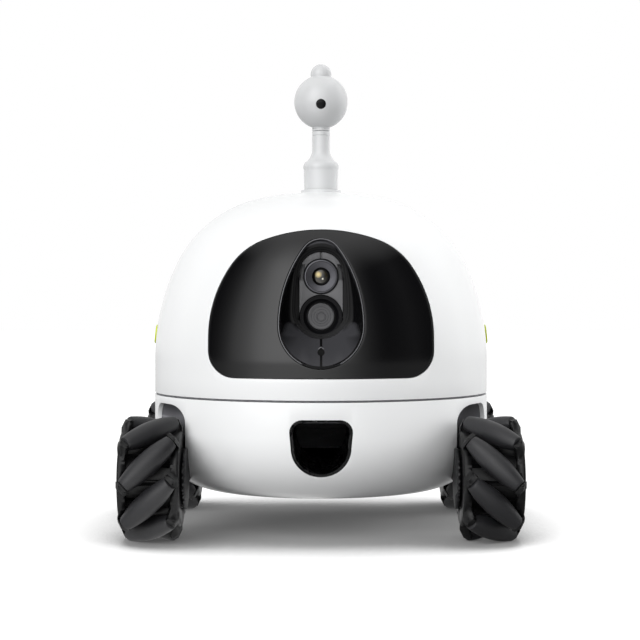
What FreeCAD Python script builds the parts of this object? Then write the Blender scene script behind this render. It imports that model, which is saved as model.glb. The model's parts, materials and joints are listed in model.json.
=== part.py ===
import FreeCAD, Part
import math
import os
import Sketcher

# A treat tossing pet camera on four mecanum wheels: a round body 200 mm across, built as a
# parametric document. Millimetres, +Z up, the front faces -Y, and the origin is on the ground
# under the middle of the body. "Left" and "right" are the robot's own, so left is +X.

DIMENSIONS = [
    # alias, value, what it is
    ("body_radius", 100, "outer radius of both shells at the seam"),
    ("seam_height", 80, "height of the joint line between the shells"),
    ("seam_gap", 1.2, "open line between the two shells"),
    ("lip_inset", 0.8, "how far the lip in the seam lies behind the skin"),
    ("belly_height", 23, "ground to the underside of the body"),
    ("bowl_turn_radius", 37, "radius that rounds the bowl's side into its belly"),
    ("shell_wall", 2.4, "wall of the white shells"),
    ("fit_gap", 0.2, "gap between parts that are fitted together and stay put"),
    ("cut_margin", 5, "how far a cutting solid reaches past the body"),
    ("belly_half_length", 64, "half of the belly panel along X"),
    ("belly_half_width", 34, "half of the belly panel along Y"),
    ("belly_drop", 0.5, "how far the belly panel stands out below the belly"),
    ("belly_panel_wall", 2.3, "thickness of the belly panel"),
    ("side_start", 99.7, "height where the dome's side begins to curve in"),
    ("side_radius", 134.2, "radius of the dome's side arc"),
    ("side_angle", 25.1, "angle that the side arc spans"),
    ("shoulder_radius", 71.9, "radius of the dome's shoulder arc"),
    ("crown_angle", 77.4, "angle from level at which the crown arc begins"),
    ("wheel_radius", 35, "radius of the wheel over its rollers"),
    ("wheel_width", 34, "width of the wheel"),
    ("wheel_track", 190, "middle to middle of a left and a right wheel"),
    ("wheel_base", 140, "front axle line to rear axle line"),
    ("roller_radius", 6.5, "largest radius of a roller"),
    ("roller_profile", 64.6, "radius of the arc that a roller's side follows"),
    ("roller_half", 18.2, "half of a roller's length"),
    ("roller_tilt", 45, "angle between a roller and the wheel's axle"),
    ("roller_gap", 0.5, "gap between a roller and the lugs that hold it"),
    ("pin_radius", 1.0, "radius of the pin that a roller turns on"),
    ("pin_half", 20.6, "half of that pin's length"),
    ("running_gap", 0.05, "radial clearance of a turning fit"),
    ("barrel_radius", 20.6, "outer radius of the hub's barrel"),
    ("barrel_bore", 18, "inner radius of the hub's barrel, round the motor"),
    ("rim_radius", 27, "radius of the two rims that carry the lugs"),
    ("rim_wall", 4.5, "thickness of a rim"),
    ("rim_round", 1.5, "rounding of a rim's outer edge"),
    ("lug_radius", 4.6, "radius of a lug's round end, about its pin"),
    ("lug_wall", 2.4, "thickness of a lug"),
    ("lug_root", 11, "how far a lug reaches in from its pin to the rim"),
    ("lug_limit", 33.4, "distance from the axle that no lug passes"),
    ("lug_shoulder", 14.8, "distance from the wheel's middle where the lugs begin to lean in"),
    ("lug_edge", 29, "distance from the axle that the lugs keep at the wheel's faces"),
    ("web_wall", 4, "thickness of the hub's web"),
    ("web_depth", 4, "how far the web lies behind the outer rim"),
    ("dish_radius", 24, "radius of the dish in the outer rim"),
    ("axle_radius", 2.5, "radius of the drive axle"),
    ("axle_reach", 14, "length of axle inside the motor"),
    ("axle_end_gap", 1, "gap between a motor's shaft and the end of its bore"),
    ("motor_radius", 16.5, "radius of a drive motor"),
    ("motor_end_gap", 2, "gap between a drive motor and the web"),
    ("well_inner", 77, "distance from the middle to a wheel well's inner wall"),
    ("well_end", 27, "distance from the middle to a wheel well's end wall"),
    ("well_top", 75.5, "height of a wheel well's roof"),
    ("well_round", 10, "rounding inside a wheel well"),
    ("well_reach", 20, "how far a wheel well reaches past the body"),
    ("liner_wall", 1.6, "wall of the chassis tub and its wheel wells"),
    ("floor_wall", 2, "floor of the chassis tub"),
    ("cheek_start", 39, "distance from the middle to where a cheek plate leaves the well wall"),
    ("cheek_low", 32, "height of the lower edge of a cheek plate"),
    ("cheek_high", 50, "height of the upper edge of a cheek plate"),
    ("cheek_end_radius", 17, "radius of a cheek plate's end, round the axle"),
    ("visor_half", 63, "half of the visor's width"),
    ("visor_low", 92.3, "height of the visor's lower edge"),
    ("visor_corner", 15, "radius of the visor's lower corners"),
    ("visor_side_start", 115, "height where the visor's side begins to curve in"),
    ("visor_side_radius", 70, "radius of the visor's side arc"),
    ("visor_side_angle", 35, "angle that the visor's side arc spans"),
    ("visor_shoulder", 38, "radius of the visor's shoulder arc"),
    ("visor_crown_angle", 70, "angle from level at which the visor's top arc begins"),
    ("egg_half", 23.7, "half of the egg recess's width"),
    ("egg_middle", 121.4, "height of the egg recess's widest place"),
    ("egg_top", 169.8, "height of the egg recess's top"),
    ("egg_tip_radius", 12, "radius of the egg recess's top"),
    ("egg_lip", 0.9, "width of the rim round the egg recess"),
    ("bezel_front", 104, "distance in front of the middle where the funnel starts"),
    ("bezel_lean", 22, "how much nearer the middle the funnel starts at its top"),
    ("bezel_wall", 1.8, "wall of the funnel"),
    ("pod_face", 78, "distance in front of the middle of the camera pod's face"),
    ("pod_depth", 14, "depth of the camera pod"),
    ("pod_half", 12, "half of the camera pod's width"),
    ("pod_low", 114.2, "height of the camera pod's lower end"),
    ("pod_high", 162, "height of the camera pod's upper end"),
    ("frame_half", 16, "half of the width of the frame round the pod"),
    ("frame_middle", 129.6, "height of the frame's widest place"),
    ("frame_top", 165, "height of the frame's top"),
    ("frame_tip_radius", 14.5, "radius of the frame's top"),
    ("frame_front", 81.5, "distance in front of the middle where the frame starts"),
    ("frame_step", 1.4, "width of a step of the frame"),
    ("frame_ledge", 0.28, "width of the frame's front ledge"),
    ("frame_rise", 1.7, "height of a step of the frame"),
    ("lens_gap_radius", 10, "radius of the gap round the lens barrel"),
    ("lens_gap_depth", 4, "depth of that gap"),
    ("notch_inner", 9, "distance from the middle plane to the notches beside the lens"),
    ("notch_low", 146.3, "height of the notches' lower edge"),
    ("notch_high", 155.3, "height of the notches' upper edge"),
    ("pod_slot_width", 1.4, "width of the slot in the pod's top"),
    ("pod_slot_depth", 2, "depth of the slot in the pod's top"),
    ("lens_height", 148.5, "height of the camera lens"),
    ("lens_ring_radius", 9.3, "outer radius of the lens barrel"),
    ("lens_glass_radius", 5, "radius of the lens glass"),
    ("glass_rise", 1.6, "height of the lens glass's crown"),
    ("lens_proud", 1.2, "how far the lens barrel stands in front of the pod"),
    ("lens_depth", 9, "length of the lens barrel inside the pod"),
    ("lens_back_wall", 5, "thickness of the lens barrel's back"),
    ("lens_edge", 0.4, "bevel of the lens barrel's front edge"),
    ("cone_depth", 1, "distance of the foot of the barrel's cone behind the pod's face"),
    ("cone_ledge", 0.7, "width of the ledge at the foot of that cone"),
    ("glass_flange", 0.3, "width of the lens glass's edge round its crown"),
    ("glass_sink", 2, "distance of the lens glass's rim behind the pod's face"),
    ("sensor_height", 126.2, "height of the round sensor"),
    ("sensor_bore_radius", 12.2, "radius of the bore that takes the pod's lower end away"),
    ("sensor_well_radius", 11.9, "outer radius of the sensor's dark ring"),
    ("sensor_ring_radius", 9.9, "radius where the dark ring dips to the disc"),
    ("sensor_disc_radius", 7.4, "radius of the sensor's disc"),
    ("sensor_depth", 5, "depth of the dark well round the sensor"),
    ("sensor_sink", 1, "distance of the dark ring behind the pod's face"),
    ("sensor_slope", 1.1, "width of the slope inside the dark ring"),
    ("sensor_dip", 2.6, "depth of the groove round the disc"),
    ("disc_edge", 0.4, "bevel of the disc's edge, and its distance behind the pod's face"),
    ("mic_height", 106.6, "height of the microphone hole"),
    ("mic_radius", 1.9, "radius of the microphone hole"),
    ("groove_width", 1.0, "width of the groove between the pod and the microphone"),
    ("groove_depth", 0.8, "depth of that groove"),
    ("slot_width", 1.3, "width of the slot below the microphone"),
    ("slot_depth", 1.6, "depth of that slot"),
    ("chute_half", 17.4, "half of the treat mouth's width"),
    ("chute_top", 70, "height of the treat mouth's upper edge"),
    ("chute_corner", 7, "radius of the treat mouth's upper corners"),
    ("chute_round", 16.6, "radius of the treat mouth's lower end"),
    ("chute_low", 38, "height of the treat mouth's lower edge"),
    ("chute_wall", 1.5, "wall of the treat chute"),
    ("chute_setback", 1.4, "how far the chute's lip lies behind the skin"),
    ("rotor_behind", 22, "distance of the rotor's axis behind the middle"),
    ("rotor_height", 58.4, "height of the rotor's axis"),
    ("rotor_radius", 18.4, "radius of the rotor over its paddles"),
    ("rotor_gap", 0.8, "gap between the rotor and its drum"),
    ("rotor_hub", 5, "radius of the rotor's hub"),
    ("rotor_shaft", 2, "radius of the rotor's shaft"),
    ("paddle_wall", 2, "thickness of a paddle"),
    ("toss_motor_radius", 10, "radius of the toss motor"),
    ("toss_motor_length", 30, "length of the toss motor"),
    ("shaft_reach", 10, "length of the rotor's shaft inside its motor"),
    ("hopper_half", 32, "half of the treat hopper's width"),
    ("hopper_front", 8, "distance of the hopper's front wall behind the middle"),
    ("hopper_floor", 84, "height of the hopper's lowest floor, at the throat"),
    ("hopper_wall", 1.6, "wall of the treat hopper"),
    ("hopper_gap", 1.2, "gap between the hopper and the dome"),
    ("hopper_slope", 0.62, "rise of the hopper's floor for each millimetre to the rear"),
    ("fill_margin", 6, "how far the filling hole stays inside the lid's outline"),
    ("throat_length", 26, "length of the hopper's throat"),
    ("throat_half", 13, "half of the throat's width"),
    ("lid_half", 34, "half of the hopper lid's width"),
    ("lid_low", 120, "height of the hopper lid's lower edge"),
    ("lid_high", 178, "height of the hopper lid's upper edge"),
    ("lid_corner", 12, "radius of the hopper lid's corners"),
    ("lid_gap", 0.5, "gap round the hopper lid"),
    ("hinge_radius", 2.6, "radius of the lid hinge's knuckles"),
    ("hinge_pin_radius", 1.1, "radius of the lid hinge's pin"),
    ("hinge_half", 16, "half of the lid hinge's length"),
    ("hinge_middle_half", 6, "half of the middle knuckle's length"),
    ("hinge_sink", 1.2, "how far the hinge's axis lies inside the body's radius"),
    ("hinge_drop", 2.5, "how far the hinge's axis lies below the lid"),
    ("lid_web_depth", 1.56, "depth of the web between the lid and its knuckle"),
    ("lid_web_rise", 3, "how far that web reaches up behind the lid's edge"),
    ("collar_radius", 12.2, "outer radius of the collar round the antenna"),
    ("collar_depth", 2.3, "height of that collar, with what lies in the dome's crown"),
    ("collar_round", 0.8, "rounding of the collar's upper edge"),
    ("stalk_radius", 10, "radius of the antenna's stalk at its foot"),
    ("stalk_flare", 10.4, "radius of the stalk at its shoulder"),
    ("stalk_shoulder", 214, "height of the stalk's shoulder"),
    ("shoulder_round", 4.05, "radius that rounds the stalk's shoulder"),
    ("turn_radius", 8.375, "radius of the stalk where its shoulder turns into its neck"),
    ("turn_height", 219.4, "height of that place"),
    ("neck_round", 10.1, "radius of the hollow curve below the neck"),
    ("neck_radius", 5.35, "radius of the antenna's neck"),
    ("neck_start", 226, "height where the neck begins"),
    ("neck_top", 237.3, "height of the swivel seam on the neck"),
    ("spigot_radius", 3.4, "radius of the spigot that the head turns on"),
    ("spigot_length", 6, "length of that spigot"),
    ("root_radius", 7.5, "radius of the stalk where it passes through the dome"),
    ("root_length", 7, "length of the stalk below the dome's skin"),
    ("ball_height", 255.1, "height of the middle of the antenna's ball"),
    ("ball_radius", 16.2, "radius of the antenna's ball"),
    ("tuft_height", 271.6, "height of the middle of the tuft on the ball"),
    ("tuft_radius", 6.3, "radius of that tuft"),
    ("pointer_radius", 3, "radius of the pointer's window"),
    ("pointer_dip", 11, "angle by which the pointer looks down"),
    ("pointer_depth", 5, "length of the pointer's window"),
    ("pointer_rise", 0.5, "height of the pointer window's crown"),
    ("pointer_sink", 1, "how far the pointer's window lies behind the ball"),
    ("button_height", 115, "height of the middle of a side button"),
    ("button_half_height", 6, "half of a side button's height"),
    ("button_half_width", 9, "half of a side button's width"),
    ("button_corner", 5, "radius of a side button's corners"),
    ("button_proud", 0.9, "how far a side button stands out of the dome"),
    ("button_depth", 7, "length of a side button"),
    ("button_gap", 0.3, "gap round a side button"),
    ("button_flange", 1.2, "width of the flange that holds a button behind the skin"),
    ("button_flange_wall", 1.8, "thickness of that flange"),
    ("button_flange_front", 95.0, "distance from the middle to the flange's front"),
    ("board_half_length", 38, "half of the main board along X"),
    ("board_front", 64, "distance of the main board's front edge from the middle"),
    ("board_width", 54, "width of the main board along Y"),
    ("board_height", 77, "height of the main board's underside"),
    ("board_wall", 1.6, "thickness of the main board"),
    ("chip_side", 12, "side of a chip"),
    ("chip_height", 1.6, "height of a chip"),
    ("post_inset", 6, "distance of a board post from the board's edge"),
    ("post_radius", 2.2, "radius of a post under the main board"),
    ("pack_half_length", 30, "half of the battery pack along X"),
    ("pack_front", 40, "distance of the battery pack's front behind the middle"),
    ("pack_width", 20, "width of the battery pack"),
    ("pack_height", 20, "height of the battery pack"),
]

WHEELS = [
    # name, side (+1 is left), end (+1 is rear), hand of the rollers
    ("front_left", 1, -1, 1),
    ("front_right", -1, -1, -1),
    ("rear_left", 1, 1, -1),
    ("rear_right", -1, 1, 1),
]
ROLLERS_PER_WHEEL = 8
PADDLES = 4
CHIP_CORNERS = [(-28, -56), (-6, -40), (16, -56)]
DOME_SEAM = 45
BOWL_SEAM = 90

doc = FreeCAD.newDocument("treat_tossing_pet_camera")
sheet = doc.addObject("Spreadsheet::Sheet", "Dimensions")


class Size:
    """A size with two faces: its number, and the sheet's expression that it comes from."""

    def __init__(self, number, text):
        self.number = number
        self.text = text

    def __float__(self):
        return self.number

    def __add__(self, other):
        other = as_size(other)
        return Size(self.number + other.number, f"({self.text} + {other.text})")

    def __sub__(self, other):
        other = as_size(other)
        return Size(self.number - other.number, f"({self.text} - {other.text})")

    def __mul__(self, other):
        other = as_size(other)
        return Size(self.number * other.number, f"({self.text} * {other.text})")

    def __truediv__(self, other):
        other = as_size(other)
        return Size(self.number / other.number, f"({self.text} / {other.text})")

    def __neg__(self):
        return Size(-self.number, f"(0 - {self.text})")

    def __rsub__(self, other):
        return as_size(other) - self

    __radd__ = __add__
    __rmul__ = __mul__


def as_size(value):
    return value if isinstance(value, Size) else Size(float(value), repr(float(value)))


def cosine(angle):
    return Size(math.cos(math.radians(angle.number)), f"cos({angle.text})")


def sine(angle):
    return Size(math.sin(math.radians(angle.number)), f"sin({angle.text})")


def root(value):
    return Size(math.sqrt(value.number), f"sqrt({value.text})")


class Sheet:
    """The driving dimensions, each read as an attribute."""


D = Sheet()
for row, (alias, value, meaning) in enumerate(DIMENSIONS, start=1):
    sheet.set(f"A{row}", meaning)
    sheet.set(f"B{row}", str(value))
    sheet.setAlias(f"B{row}", alias)
doc.recompute()
for alias, value, meaning in DIMENSIONS:
    setattr(D, alias, Size(float(sheet.get(alias)), f"Dimensions.{alias}"))


# ---------------------------------------------------------------- helpers

TO_XZ = FreeCAD.Rotation(FreeCAD.Vector(1, 0, 0), 90)      # drawn x, y lie along X, Z
TO_YZ = FreeCAD.Rotation(FreeCAD.Vector(1, 1, 1), 120)     # drawn x, y lie along Y, Z
TO_XY = FreeCAD.Rotation()
AXES = {"x": FreeCAD.Vector(1, 0, 0), "y": FreeCAD.Vector(0, 1, 0), "z": FreeCAD.Vector(0, 0, 1)}


def bind(item, **sizes):
    """Bind properties to the sheet; x, y and z stand for the placement's place."""
    for name, value in sizes.items():
        path = f"Placement.Base.{name}" if name in AXES else name
        item.setExpression(path, as_size(value).text)
    return item


def arc_between(start, end, radius):
    """An arc with its centre on the left of the way from start to end, or on the right where the
    radius is negative."""
    middle = (start + end) * 0.5
    half = (end - start).Length / 2
    across = FreeCAD.Vector(start.y - end.y, end.x - start.x, 0) / (2 * half)
    depth = math.sqrt(max(radius * radius - half * half, 0.0))
    centre = middle + across * (depth if radius > 0 else -depth)
    first, last = (start, end) if radius > 0 else (end, start)
    circle = Part.Circle(centre, FreeCAD.Vector(0, 0, 1), abs(radius))
    return Part.ArcOfCircle(circle, circle.parameter(first), circle.parameter(last)), radius > 0


def draw(sketch, path):
    """Draw a closed outline. Each entry is a corner, and with a third value the way to the next
    corner is an arc of that radius, signed as arc_between says."""
    corners = [FreeCAD.Vector(float(entry[0]), float(entry[1]), 0) for entry in path]
    ends = []
    for index, entry in enumerate(path):
        start, end = corners[index], corners[(index + 1) % len(path)]
        if len(entry) == 3:
            shape, forward = arc_between(start, end, float(entry[2]))
        else:
            shape, forward = Part.LineSegment(start, end), True
        number = sketch.addGeometry(shape, False)
        ends.append((number, 1, 2) if forward else (number, 2, 1))
    for index, (number, start, end) in enumerate(ends):
        follower, follower_start, follower_end = ends[(index + 1) % len(ends)]
        sketch.addConstraint(Sketcher.Constraint("Coincident", number, end, follower, follower_start))
        for kind, value in zip(("DistanceX", "DistanceY"), path[index][:2]):
            rule = Sketcher.Constraint(kind, -1, 1, number, start, float(value))
            place = sketch.addConstraint(rule)
            sketch.setExpression(f"Constraints[{place}]", as_size(value).text)
        if len(path[index]) == 3:
            radius = as_size(path[index][2])
            size = radius if radius.number > 0 else -radius
            place = sketch.addConstraint(Sketcher.Constraint("Radius", number, size.number))
            sketch.setExpression(f"Constraints[{place}]", size.text)


def draw_circle(sketch, x, y, radius):
    circle = Part.Circle(FreeCAD.Vector(float(x), float(y), 0), FreeCAD.Vector(0, 0, 1), float(radius))
    number = sketch.addGeometry(circle, False)
    for kind, value in (("DistanceX", x), ("DistanceY", y)):
        place = sketch.addConstraint(Sketcher.Constraint(kind, -1, 1, number, 3, float(value)))
        sketch.setExpression(f"Constraints[{place}]", as_size(value).text)
    place = sketch.addConstraint(Sketcher.Constraint("Radius", number, float(radius)))
    sketch.setExpression(f"Constraints[{place}]", as_size(radius).text)


def loose_sketch(name, turn, *paths):
    """A sketch that stands in the document by itself."""
    sketch = doc.addObject("Sketcher::SketchObject", name)
    sketch.Placement = FreeCAD.Placement(FreeCAD.Vector(), turn)
    for path in paths:
        draw(sketch, path)
    return sketch


def turned(name, path, start=0, axis="z"):
    """A solid turned round an axis through the origin. start is the angle about Z at which a solid
    that is turned round Z has its seam, kept clear of the openings cut in it later."""
    solid = doc.addObject("Part::Revolution", name)
    seam = FreeCAD.Rotation(AXES["z"], start)
    solid.Source = loose_sketch(name + "_outline", seam.multiply(TO_XZ), path)
    solid.Axis = AXES[axis]
    solid.Base = FreeCAD.Vector()
    solid.Angle = 360.0
    solid.Solid = True
    return solid


def prism(name, turn, axis, start, length, *paths):
    """A solid drawn along an axis: from start, as far as length."""
    sketch = loose_sketch(name + "_outline", turn, *paths)
    bind(sketch, **{axis: start})
    solid = doc.addObject("Part::Extrusion", name)
    solid.Base = sketch
    solid.DirMode = "Custom"
    solid.Dir = AXES[axis]
    solid.Solid = True
    return bind(solid, LengthFwd=length)


def box(name, low, high):
    """A box between two corners."""
    solid = doc.addObject("Part::Box", name)
    sizes = [as_size(far) - near for near, far in zip(low, high)]
    return bind(solid, Length=sizes[0], Width=sizes[1], Height=sizes[2], x=low[0], y=low[1], z=low[2])


def rod(name, axis, radius, centre, start, length):
    """A cylinder along an axis. centre gives its two places across that axis, in XYZ order."""
    solid = doc.addObject("Part::Cylinder", name)
    turns = {"x": FreeCAD.Rotation(FreeCAD.Vector(0, 1, 0), 90),
             "y": FreeCAD.Rotation(FreeCAD.Vector(1, 0, 0), -90), "z": FreeCAD.Rotation()}
    solid.Placement = FreeCAD.Placement(FreeCAD.Vector(), turns[axis])
    others = [name for name in "xyz" if name != axis]
    bind(solid, **{axis: start, others[0]: centre[0], others[1]: centre[1]})
    return bind(solid, Radius=radius, Height=length)


def fused(name, *items):
    solid = doc.addObject("Part::MultiFuse", name)
    solid.Shapes = list(items)
    return solid


def grouped(name, *items):
    """Separate solids kept in one sub-part."""
    solid = doc.addObject("Part::Compound", name)
    solid.Links = list(items)
    return solid


def common(name, *items):
    solid = doc.addObject("Part::MultiCommon", name)
    solid.Shapes = list(items)
    return solid


def cut(name, base, tool):
    solid = doc.addObject("Part::Cut", name)
    solid.Base = base
    solid.Tool = tool
    return solid


def turned_body(label, *paths, axis="V_Axis"):
    """A PartDesign body turned round the upright or the level axis of a sketch on its XZ plane."""
    body = doc.addObject("PartDesign::Body", label)
    sketch = body.newObject("Sketcher::SketchObject", label + "_outline")
    plane = [item for item in body.Origin.OriginFeatures if item.Role == "XZ_Plane"][0]
    sketch.AttachmentSupport = (plane, [""])
    sketch.MapMode = "FlatFace"
    for path in paths:
        draw(sketch, path)
    turn = body.newObject("PartDesign::Revolution", label + "_turn")
    turn.Profile = sketch
    turn.ReferenceAxis = (sketch, [axis])
    turn.Angle = 360.0
    body.Tip = turn
    return body


def body_on(label, role, path, offset, length, holes=()):
    """A PartDesign body padded from a sketch on one of its origin planes."""
    body = doc.addObject("PartDesign::Body", label)
    sketch = body.newObject("Sketcher::SketchObject", label + "_outline")
    plane = [item for item in body.Origin.OriginFeatures if item.Role == role][0]
    sketch.AttachmentSupport = (plane, [""])
    sketch.MapMode = "FlatFace"
    sketch.setExpression("AttachmentOffset.Base.z", as_size(offset).text)
    draw(sketch, path)
    for hole in holes:
        draw_circle(sketch, *hole)
    pad = body.newObject("PartDesign::Pad", label + "_pad")
    pad.Profile = sketch
    pad.setExpression("Length", as_size(length).text)
    body.Tip = pad
    return body


kept = []


def keep(item, label):
    """Name a finished sub-part."""
    item.Label = label
    kept.append(item)
    return item


# ---------------------------------------------------------------- outlines of the shells

dome_side_x = D.body_radius - D.side_radius
shoulder_x = dome_side_x + (D.side_radius - D.shoulder_radius) * cosine(D.side_angle)
shoulder_z = D.side_start + (D.side_radius - D.shoulder_radius) * sine(D.side_angle)
crown_radius = D.shoulder_radius + shoulder_x / cosine(D.crown_angle)
crown_z = shoulder_z - (crown_radius - D.shoulder_radius) * sine(D.crown_angle)
apex_height = crown_z + crown_radius
bowl_centre_x = D.body_radius - D.bowl_turn_radius
bowl_centre_z = D.belly_height + D.bowl_turn_radius


def dome_chain(inset):
    """The dome's outline from its side up to the axis, a distance inside the outer skin."""
    side = D.side_radius - inset
    shoulder = D.shoulder_radius - inset
    return [
        (D.body_radius - inset, D.side_start, side),
        (dome_side_x + side * cosine(D.side_angle), D.side_start + side * sine(D.side_angle), shoulder),
        (shoulder_x + shoulder * cosine(D.crown_angle),
         shoulder_z + shoulder * sine(D.crown_angle), crown_radius - inset),
        (as_size(0), apex_height - inset),
    ]


def reversed_chain(chain):
    """The same outline walked the other way, its arcs turned about."""
    walked = []
    for index in range(len(chain) - 1, -1, -1):
        corner = chain[index][:2]
        before = chain[index - 1] if index > 0 else None
        if before is not None and len(before) == 3:
            walked.append((corner[0], corner[1], -before[2]))
        else:
            walked.append(corner)
    return walked


def dome_solid(name, inset, low):
    """The dome as a full solid, from the height low upwards."""
    foot = [(as_size(0), low), (D.body_radius - inset, low)]
    return turned(name, foot + dome_chain(inset), start=DOME_SEAM)


def bowl_chain(inset):
    """The bowl's outline from the axis at its belly, out and up to where its side is upright."""
    turn = D.bowl_turn_radius - inset
    return [
        (as_size(0), D.belly_height + inset),
        (bowl_centre_x, D.belly_height + inset, turn),
        (D.body_radius - inset, bowl_centre_z),
    ]


def bowl_solid(name, inset, high):
    """The bowl as a full solid, from its belly up to the height high."""
    rim = [(D.body_radius - inset, high), (as_size(0), high)]
    return turned(name, bowl_chain(inset) + rim, start=BOWL_SEAM)


upper_edge = D.seam_height + D.seam_gap / 2
lower_edge = D.seam_height - D.seam_gap / 2

# ---------------------------------------------------------------- wheels

outer_end = D.wheel_width / 2
web_face = outer_end - D.web_depth
web_back = web_face - D.web_wall
rim_face = outer_end - D.rim_wall
pitch_radius = D.wheel_radius - D.roller_radius


def roller_edge(grow, half):
    """The radius of a roller, grown evenly, at the distance half from its middle."""
    profile = D.roller_profile + grow
    return D.roller_radius + grow - (profile - root(profile * profile - half * half))


def roller_place(index, hand):
    """Where a roller sits in its wheel, whose axle lies along X."""
    around = math.radians(360.0 / ROLLERS_PER_WHEEL * (index + 0.5))
    outward = FreeCAD.Vector(0, math.cos(around), math.sin(around))
    onward = FreeCAD.Vector(0, -math.sin(around), math.cos(around))
    tilt = math.radians(float(D.roller_tilt))
    lie = FreeCAD.Vector(math.cos(tilt), 0, 0) + onward * (hand * math.sin(tilt))
    return FreeCAD.Placement(outward * float(pitch_radius), FreeCAD.Rotation(FreeCAD.Vector(0, 0, 1), lie))


def roller_body(label):
    """One roller: a barrel-shaped rubber roll with a bore for its pin."""
    end_radius = roller_edge(as_size(0), D.roller_half)
    bore = D.pin_radius + D.running_gap
    return turned_body(label, [
        (bore, -D.roller_half), (end_radius, -D.roller_half, D.roller_profile),
        (end_radius, D.roller_half), (bore, D.roller_half),
    ])


def roller_space(name):
    """The space that a roller and its pin take out of the hub."""
    half = D.roller_half + D.roller_gap
    end_radius = roller_edge(D.roller_gap, half)
    return turned(name, [
        (as_size(0), -D.pin_half), (D.pin_radius, -D.pin_half), (D.pin_radius, -half),
        (end_radius, -half, D.roller_profile + D.roller_gap), (end_radius, half),
        (D.pin_radius, half), (D.pin_radius, D.pin_half), (as_size(0), D.pin_half),
    ])


def hub_blank(name):
    """The hub as it is turned: a barrel round the motor, a web, and a rim at each end."""
    return turned(name, [
        (-outer_end, D.barrel_bore), (web_back, D.barrel_bore), (web_back, D.axle_radius),
        (web_face, D.axle_radius), (web_face, D.barrel_bore), (outer_end, D.dish_radius),
        (outer_end, D.rim_radius - D.rim_round, D.rim_round), (outer_end - D.rim_round, D.rim_radius),
        (rim_face, D.rim_radius), (rim_face, D.barrel_radius), (-rim_face, D.barrel_radius),
        (-rim_face, D.rim_radius), (-(outer_end - D.rim_round), D.rim_radius, D.rim_round),
        (-outer_end, D.rim_radius - D.rim_round),
    ], axis="x")


def lug_limit(name):
    """The space that the lugs keep to: a drum with leaning edges, and hollow inside the rims."""
    return turned(name, [
        (-outer_end, D.dish_radius), (outer_end, D.dish_radius), (outer_end, D.lug_edge),
        (D.lug_shoulder, D.lug_limit), (-D.lug_shoulder, D.lug_limit), (-outer_end, D.lug_edge),
    ], axis="x")


def lug(name, index, hand, end):
    """One lug: a round-ended tongue square to a roller's pin, rooted in the rim."""
    around = math.radians(360.0 / ROLLERS_PER_WHEEL * (index + 0.5))
    outward = FreeCAD.Vector(0, math.cos(around), math.sin(around))
    onward = FreeCAD.Vector(0, -math.sin(around), math.cos(around))
    tilt = math.radians(float(D.roller_tilt))
    lie = (FreeCAD.Vector(math.cos(tilt), 0, 0) + onward * (hand * math.sin(tilt))) * end
    start = float(D.roller_half + D.roller_gap)
    foot = outward * float(pitch_radius) + lie * start
    radial = FreeCAD.Vector(0, foot.y, foot.z).normalize()
    upward = (radial - lie * radial.dot(lie)).normalize()
    across = upward.cross(lie)
    turn = FreeCAD.Rotation(across, upward, lie, "ZXY")
    place = FreeCAD.Placement(foot, turn)
    head = doc.addObject("Part::Cylinder", name + "_head")
    bind(head, Radius=D.lug_radius, Height=D.lug_wall)
    head.Placement = place
    tongue = doc.addObject("Part::Box", name + "_tongue")
    bind(tongue, Length=D.lug_radius * 2, Width=D.lug_root, Height=D.lug_wall)
    tongue.Placement = place.multiply(FreeCAD.Placement(
        FreeCAD.Vector(-float(D.lug_radius), -float(D.lug_root), 0), FreeCAD.Rotation()))
    return [head, tongue]


def wheel_placement(side, end):
    """A wheel's place: its local +X points away from the body."""
    turn = FreeCAD.Rotation(FreeCAD.Vector(0, 0, 1), 0 if side > 0 else 180)
    place = FreeCAD.Vector(side * float(D.wheel_track), end * float(D.wheel_base), 0) / 2
    place.z = float(D.wheel_radius)
    return FreeCAD.Placement(place, turn)


def make_wheel(name, side, end, hand):
    """A hub with its eight pins and its axle in one sub-part, and eight rollers of their own."""
    spaces = []
    pins = []
    for index in range(ROLLERS_PER_WHEEL):
        seat = roller_place(index, hand)
        space = roller_space(f"{name}_space_{index + 1}")
        space.Placement = seat
        spaces.append(space)
        pin = doc.addObject("Part::Cylinder", f"{name}_pin_{index + 1}")
        pin.Placement = seat.multiply(FreeCAD.Placement(FreeCAD.Vector(0, 0, -float(D.pin_half)), TO_XY))
        bind(pin, Radius=D.pin_radius, Height=D.pin_half * 2)
        pins.append(pin)
    lugs = [item for index in range(ROLLERS_PER_WHEEL) for word, end_sign in (("out", 1), ("in", -1))
            for item in lug(f"{name}_lug_{word}_{index + 1}", index, hand, end_sign)]
    limited = common(name + "_lugs", fused(name + "_lug_blanks", *lugs), lug_limit(name + "_limit"))
    moulding = cut(name + "_moulding", fused(name + "_with_lugs", hub_blank(name + "_blank"), limited),
                   fused(name + "_spaces", *spaces))
    axle = rod(name + "_axle", "x", D.axle_radius, (0, 0), web_back - D.motor_end_gap - D.axle_reach,
               D.axle_reach + D.motor_end_gap + D.web_wall)
    hub = keep(grouped(name + "_hub", moulding, axle, *pins), "wheel_hub_" + name)
    hub.Placement = wheel_placement(side, end)
    for index in range(ROLLERS_PER_WHEEL):
        roller = keep(roller_body(f"roller_{name}_{index + 1}"), f"roller_{name}_{index + 1}")
        roller.Placement = wheel_placement(side, end).multiply(roller_place(index, hand))


for wheel in WHEELS:
    make_wheel(*wheel)

# ---------------------------------------------------------------- lower shell, tub and motors


def four_corners(name, make):
    """The same solid at the four wheels, as one shape."""
    return grouped(name, *[make(f"{name}_{wheel}", side, end) for wheel, side, end, hand in WHEELS])


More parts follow.
